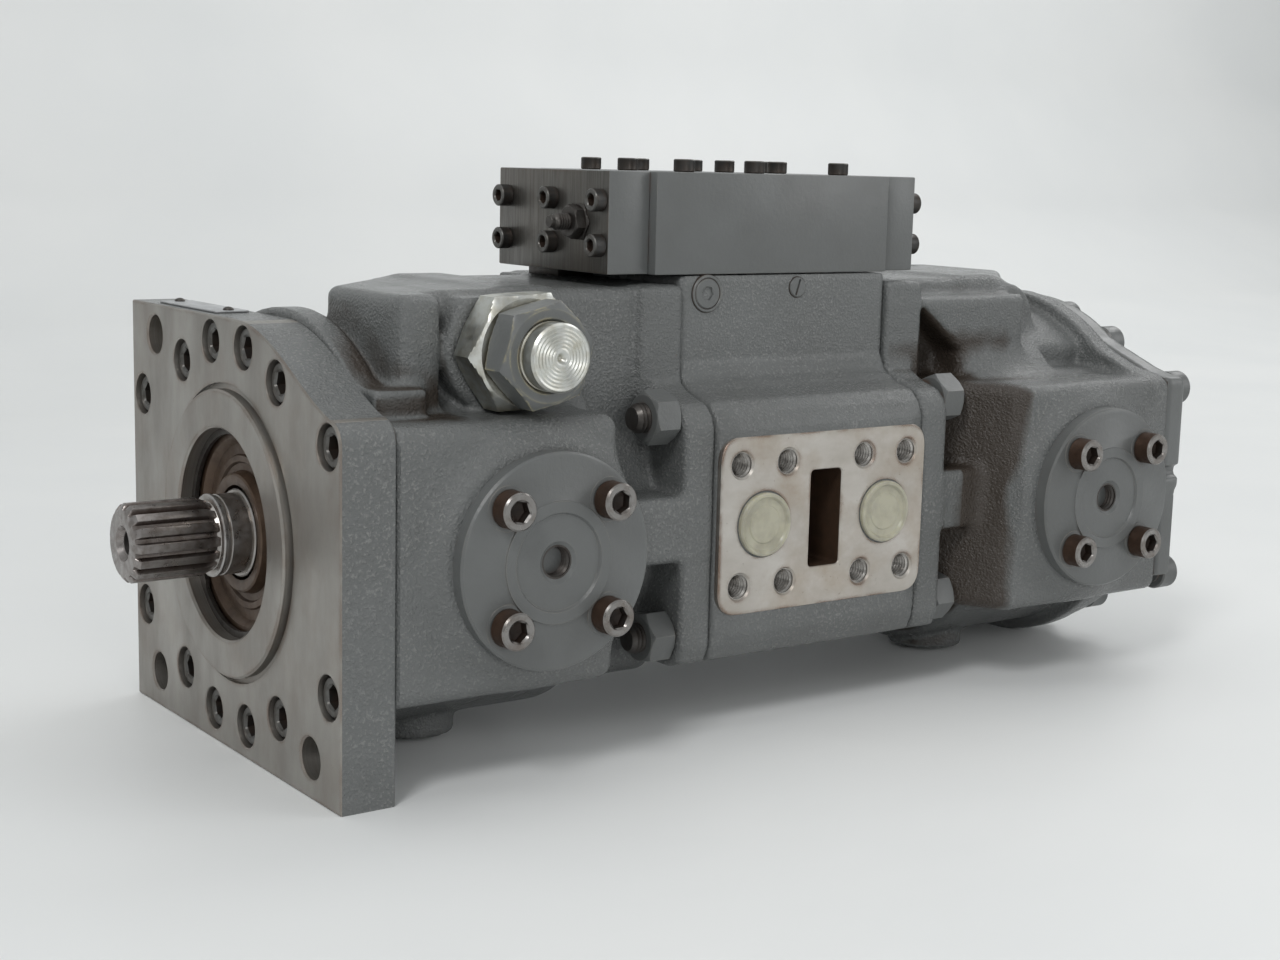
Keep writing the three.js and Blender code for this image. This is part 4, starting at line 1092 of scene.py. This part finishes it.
plug_seat = facing("-y", MIDDLE - 48.5, -COLUMN_HALF_WIDTH, 105)
slotted_seat = facing("-y", MIDDLE + 6.4, -COLUMN_HALF_WIDTH, 107.1)
plug = turned([(-4, 0), (-4, 7.1), (0.5, 7.1), (1.0, 6.6), (1.0, 3.6), (0.6, 2.9, 6),
               (-2.2, 2.9, 6), (-3, 0)], plug_seat @ spin(20), 48)
add_piece("gauge_plug", joined(plug, washer_ring(7.4, 8.7, 0.9, plug_seat)), NUT_PAINT)
# Near-black pieces at the plugs, mostly painted shade: a lining in the hex socket, a sheet in the
# slot and thin rings at the seats, with a seal ring between plug and washer.
pit = turned([(-2.15, 0), (-2.15, 2.75, 6), (-1.0, 2.85, 6), (-0.95, 2.75, 6), (-2.0, 2.6, 6),
              (-2.0, 0)], plug_seat @ spin(20), 48)
groove = plate(rectangle(-4.1, 4.1, -0.58, 0.58, 0.1), 0.2,
               slotted_seat @ shift(0, 0, -0.4) @ spin(72), (), 0.05)
seals_and_shade = joined(washer_ring(7.0, 7.5, 0.6, plug_seat), washer_ring(8.6, 9.1, 0.15, plug_seat),
               washer_ring(4.7, 5.2, 0.15, slotted_seat), pit, groove)
add_piece("plug_seals_and_shade", seals_and_shade, SOCKET_SHADE)
slotted = plate(circle(4.8, 40), 3, slotted_seat @ shift(0, 0, 0.9) @ spin(72),
                [(0, 0, rectangle(-4.0, 4.0, -0.6, 0.6, 0.2), 1.6, 0.05)], 0.4)
add_piece("slotted_plug", slotted, NUT_PAINT)

for n, (x, side) in enumerate(((VALVE_PLATE_X, "-x"), (2 * MIDDLE - VALVE_PLATE_X, "+x"))):
    kidneys = []
    for turn in (0, pi):
        arc = [turn - 1.08 + 2.16 * s / 16 for s in range(17)]
        kidneys.append((0, 0, [(41 * cos(a), 41 * sin(a)) for a in arc]
                        + [(27 * cos(a), 27 * sin(a)) for a in reversed(arc)], None, 0.2))
    disk = plate(circle(48, 80), 9.2, facing(side, x, 0, 0), [(0, 0, 24, None, 0.4)] + kidneys,
                 0.4, 48)
    add_piece(f"valve_plate_{n + 1}", disk, BRASSY)


# ---- regulator

REG_FRONT, REG_REAR = 184.0, 327.0
REG_LOW, REG_TOP = 113.9, 160.9
COVER_FRONT, COVER_REAR = 160.8, 349.0

body = bevelled_box((REG_FRONT, -60, REG_LOW), (REG_REAR - 0.3, 40, REG_TOP), 0.8)
add_piece("regulator_block", body, COVER_PAINT, ["regulator_body"])
ledge = bevelled_box((178, 12, REG_LOW - 5), (200, 39, REG_LOW + 1), 0.8)
add_piece("regulator_ledge", ledge, DARK)
for name, side, x, low, high in (("front", "-x", COVER_FRONT, COVER_FRONT, REG_FRONT - 0.3),
                                 ("rear", "+x", COVER_REAR, REG_REAR, COVER_REAR)):
    block = bevelled_box((low, -55, REG_LOW + 0.2), (high, 39, REG_TOP - 0.1), 0.7)
    for polygon in block.polygons:
        polygon.material_index = 0 if polygon.normal.x < -0.5 else 1
    add_piece(f"regulator_{name}_plate", block, [BRUSHED, COVER_PAINT], [f"regulator_{name}_cover"])
    seats = [facing(side, x, y, z) for y in (-49, -9, 31) for z in (127, 147.5)]
    add_screws(f"regulator_{name}_screw", seats, 19, 5.2, 6.0, 2.6)

top_screws = [(205, 25), (238, 30), (272, 30), (318, 30), (204, -8), (263, -8), (297, -8),
              (208, -48), (250, -48), (303, -48)]
add_screws("regulator_top_screw", [facing("+z", x, y, REG_TOP) for x, y in top_screws], 27,
           5.0, 5.9, 2.6)

seat = facing("-x", COVER_FRONT, -31, 137.2)
nut = hex_body(14, 0.2, 6.2, 0, seat, 12)
big = hex_body(16.5, -0.5, 1.2, 0, seat, 30)
rod = thread(3.9, 5.0, 14.5, 1.25, seat)
tip = turned([(14, 0), (14, 2.9), (16.2, 2.9), (16.5, 2.6), (16.5, 0)], seat, 24)
add_piece("adjusting_screw", joined(nut, big, rod, tip), DARK)


# ---- pieces kept from the CAD

INSIDE = {
    "rear_shaft": GROUND, "shaft_coupling": GROUND, "cylinder_block": GROUND, "piston": GROUND,
    "servo_piston": GROUND, "retainer": GROUND, "swash_plate": GROUND, "swash_support": DARK,
    "shoe": BRASSY,
}
for name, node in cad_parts.items():
    for start, material in INSIDE.items():
        if name.startswith(start):
            node.data.materials.clear()
            node.data.materials.append(material)


# ---- stage, light and camera

def lit_floor():
    shape = bmesh.new()
    sweep = [(-3.0, 0), (1.1, 0), (1.5, 0.05), (1.8, 0.2), (1.95, 0.45), (2.0, 0.8), (2.0, 3.2)]
    rows = [[shape.verts.new((x, y, z)) for x in (-4.5, 5.5)] for y, z in sweep]
    for a, b in zip(rows, rows[1:]):
        shape.faces.new((a[0], a[1], b[1], b[0]))
    mesh = shaped(shape)
    mesh.polygons.foreach_set("use_smooth", [True] * len(mesh.polygons))
    mesh.materials.append(pale_floor())
    placed("studio_sweep", mesh)


def softbox(name, place, target, size, power, colour=(1, 1, 1)):
    light = bpy.data.lights.new(name, "AREA")
    light.shape = "RECTANGLE"
    light.size, light.size_y = size
    light.energy = power
    light.color = colour
    lamp = placed(name, light)
    lamp.location = place
    lamp.rotation_euler = (Vector(target) - Vector(place)).to_track_quat("-Z", "Y").to_euler()


lit_floor()
softbox("window_left", (-1.5, -1.1, 1.9), (0, 0, 0.12), (0.55, 0.7), 20)
softbox("overhead", (0.1, 0.3, 2.2), (0, 0, 0.1), (2.4, 1.6), 9.5)
softbox("right_fill", (1.9, -1.6, 1.0), (0.1, 0, 0.12), (1.4, 1.4), 11)
softbox("camera_side", (-0.6, -2.2, 0.7), (0.1, 0, 0.1), (0.6, 0.6), 5.5)
softbox("back_right", (2.3, 0.8, 1.9), (1.5, 0.9, 0), (1.6, 1.2), 17)
world = bpy.data.worlds.new("studio")
world.use_nodes = True
world.node_tree.nodes["Background"].inputs["Color"].default_value = (0.9, 0.92, 0.92, 1)
world.node_tree.nodes["Background"].inputs["Strength"].default_value = 0.46
bpy.context.scene.world = world
bpy.context.scene.view_settings.view_transform = "Standard"

yaw, pitch, roll = (radians(a) for a in (54.224, -9.308, 1.441))
ahead = Vector((cos(pitch) * cos(yaw), cos(pitch) * sin(yaw), sin(pitch)))
level = ahead.cross(Vector((0, 0, 1))).normalized()
upright = level.cross(ahead)
across = level * cos(roll) + upright * sin(roll)
up = upright * cos(roll) - level * sin(roll)
lens = bpy.data.cameras.new("photo_angle")
lens.lens, lens.sensor_width = 54.53, 36.0
camera = placed("photo_angle", lens)
camera.matrix_world = Matrix((across, up, -ahead)).transposed().to_4x4()
camera.matrix_world.translation = (Vector((-341.1, -781.0, 262.4 - SHAFT_HEIGHT)) + ORIGIN) * MM
bpy.context.scene.camera = camera
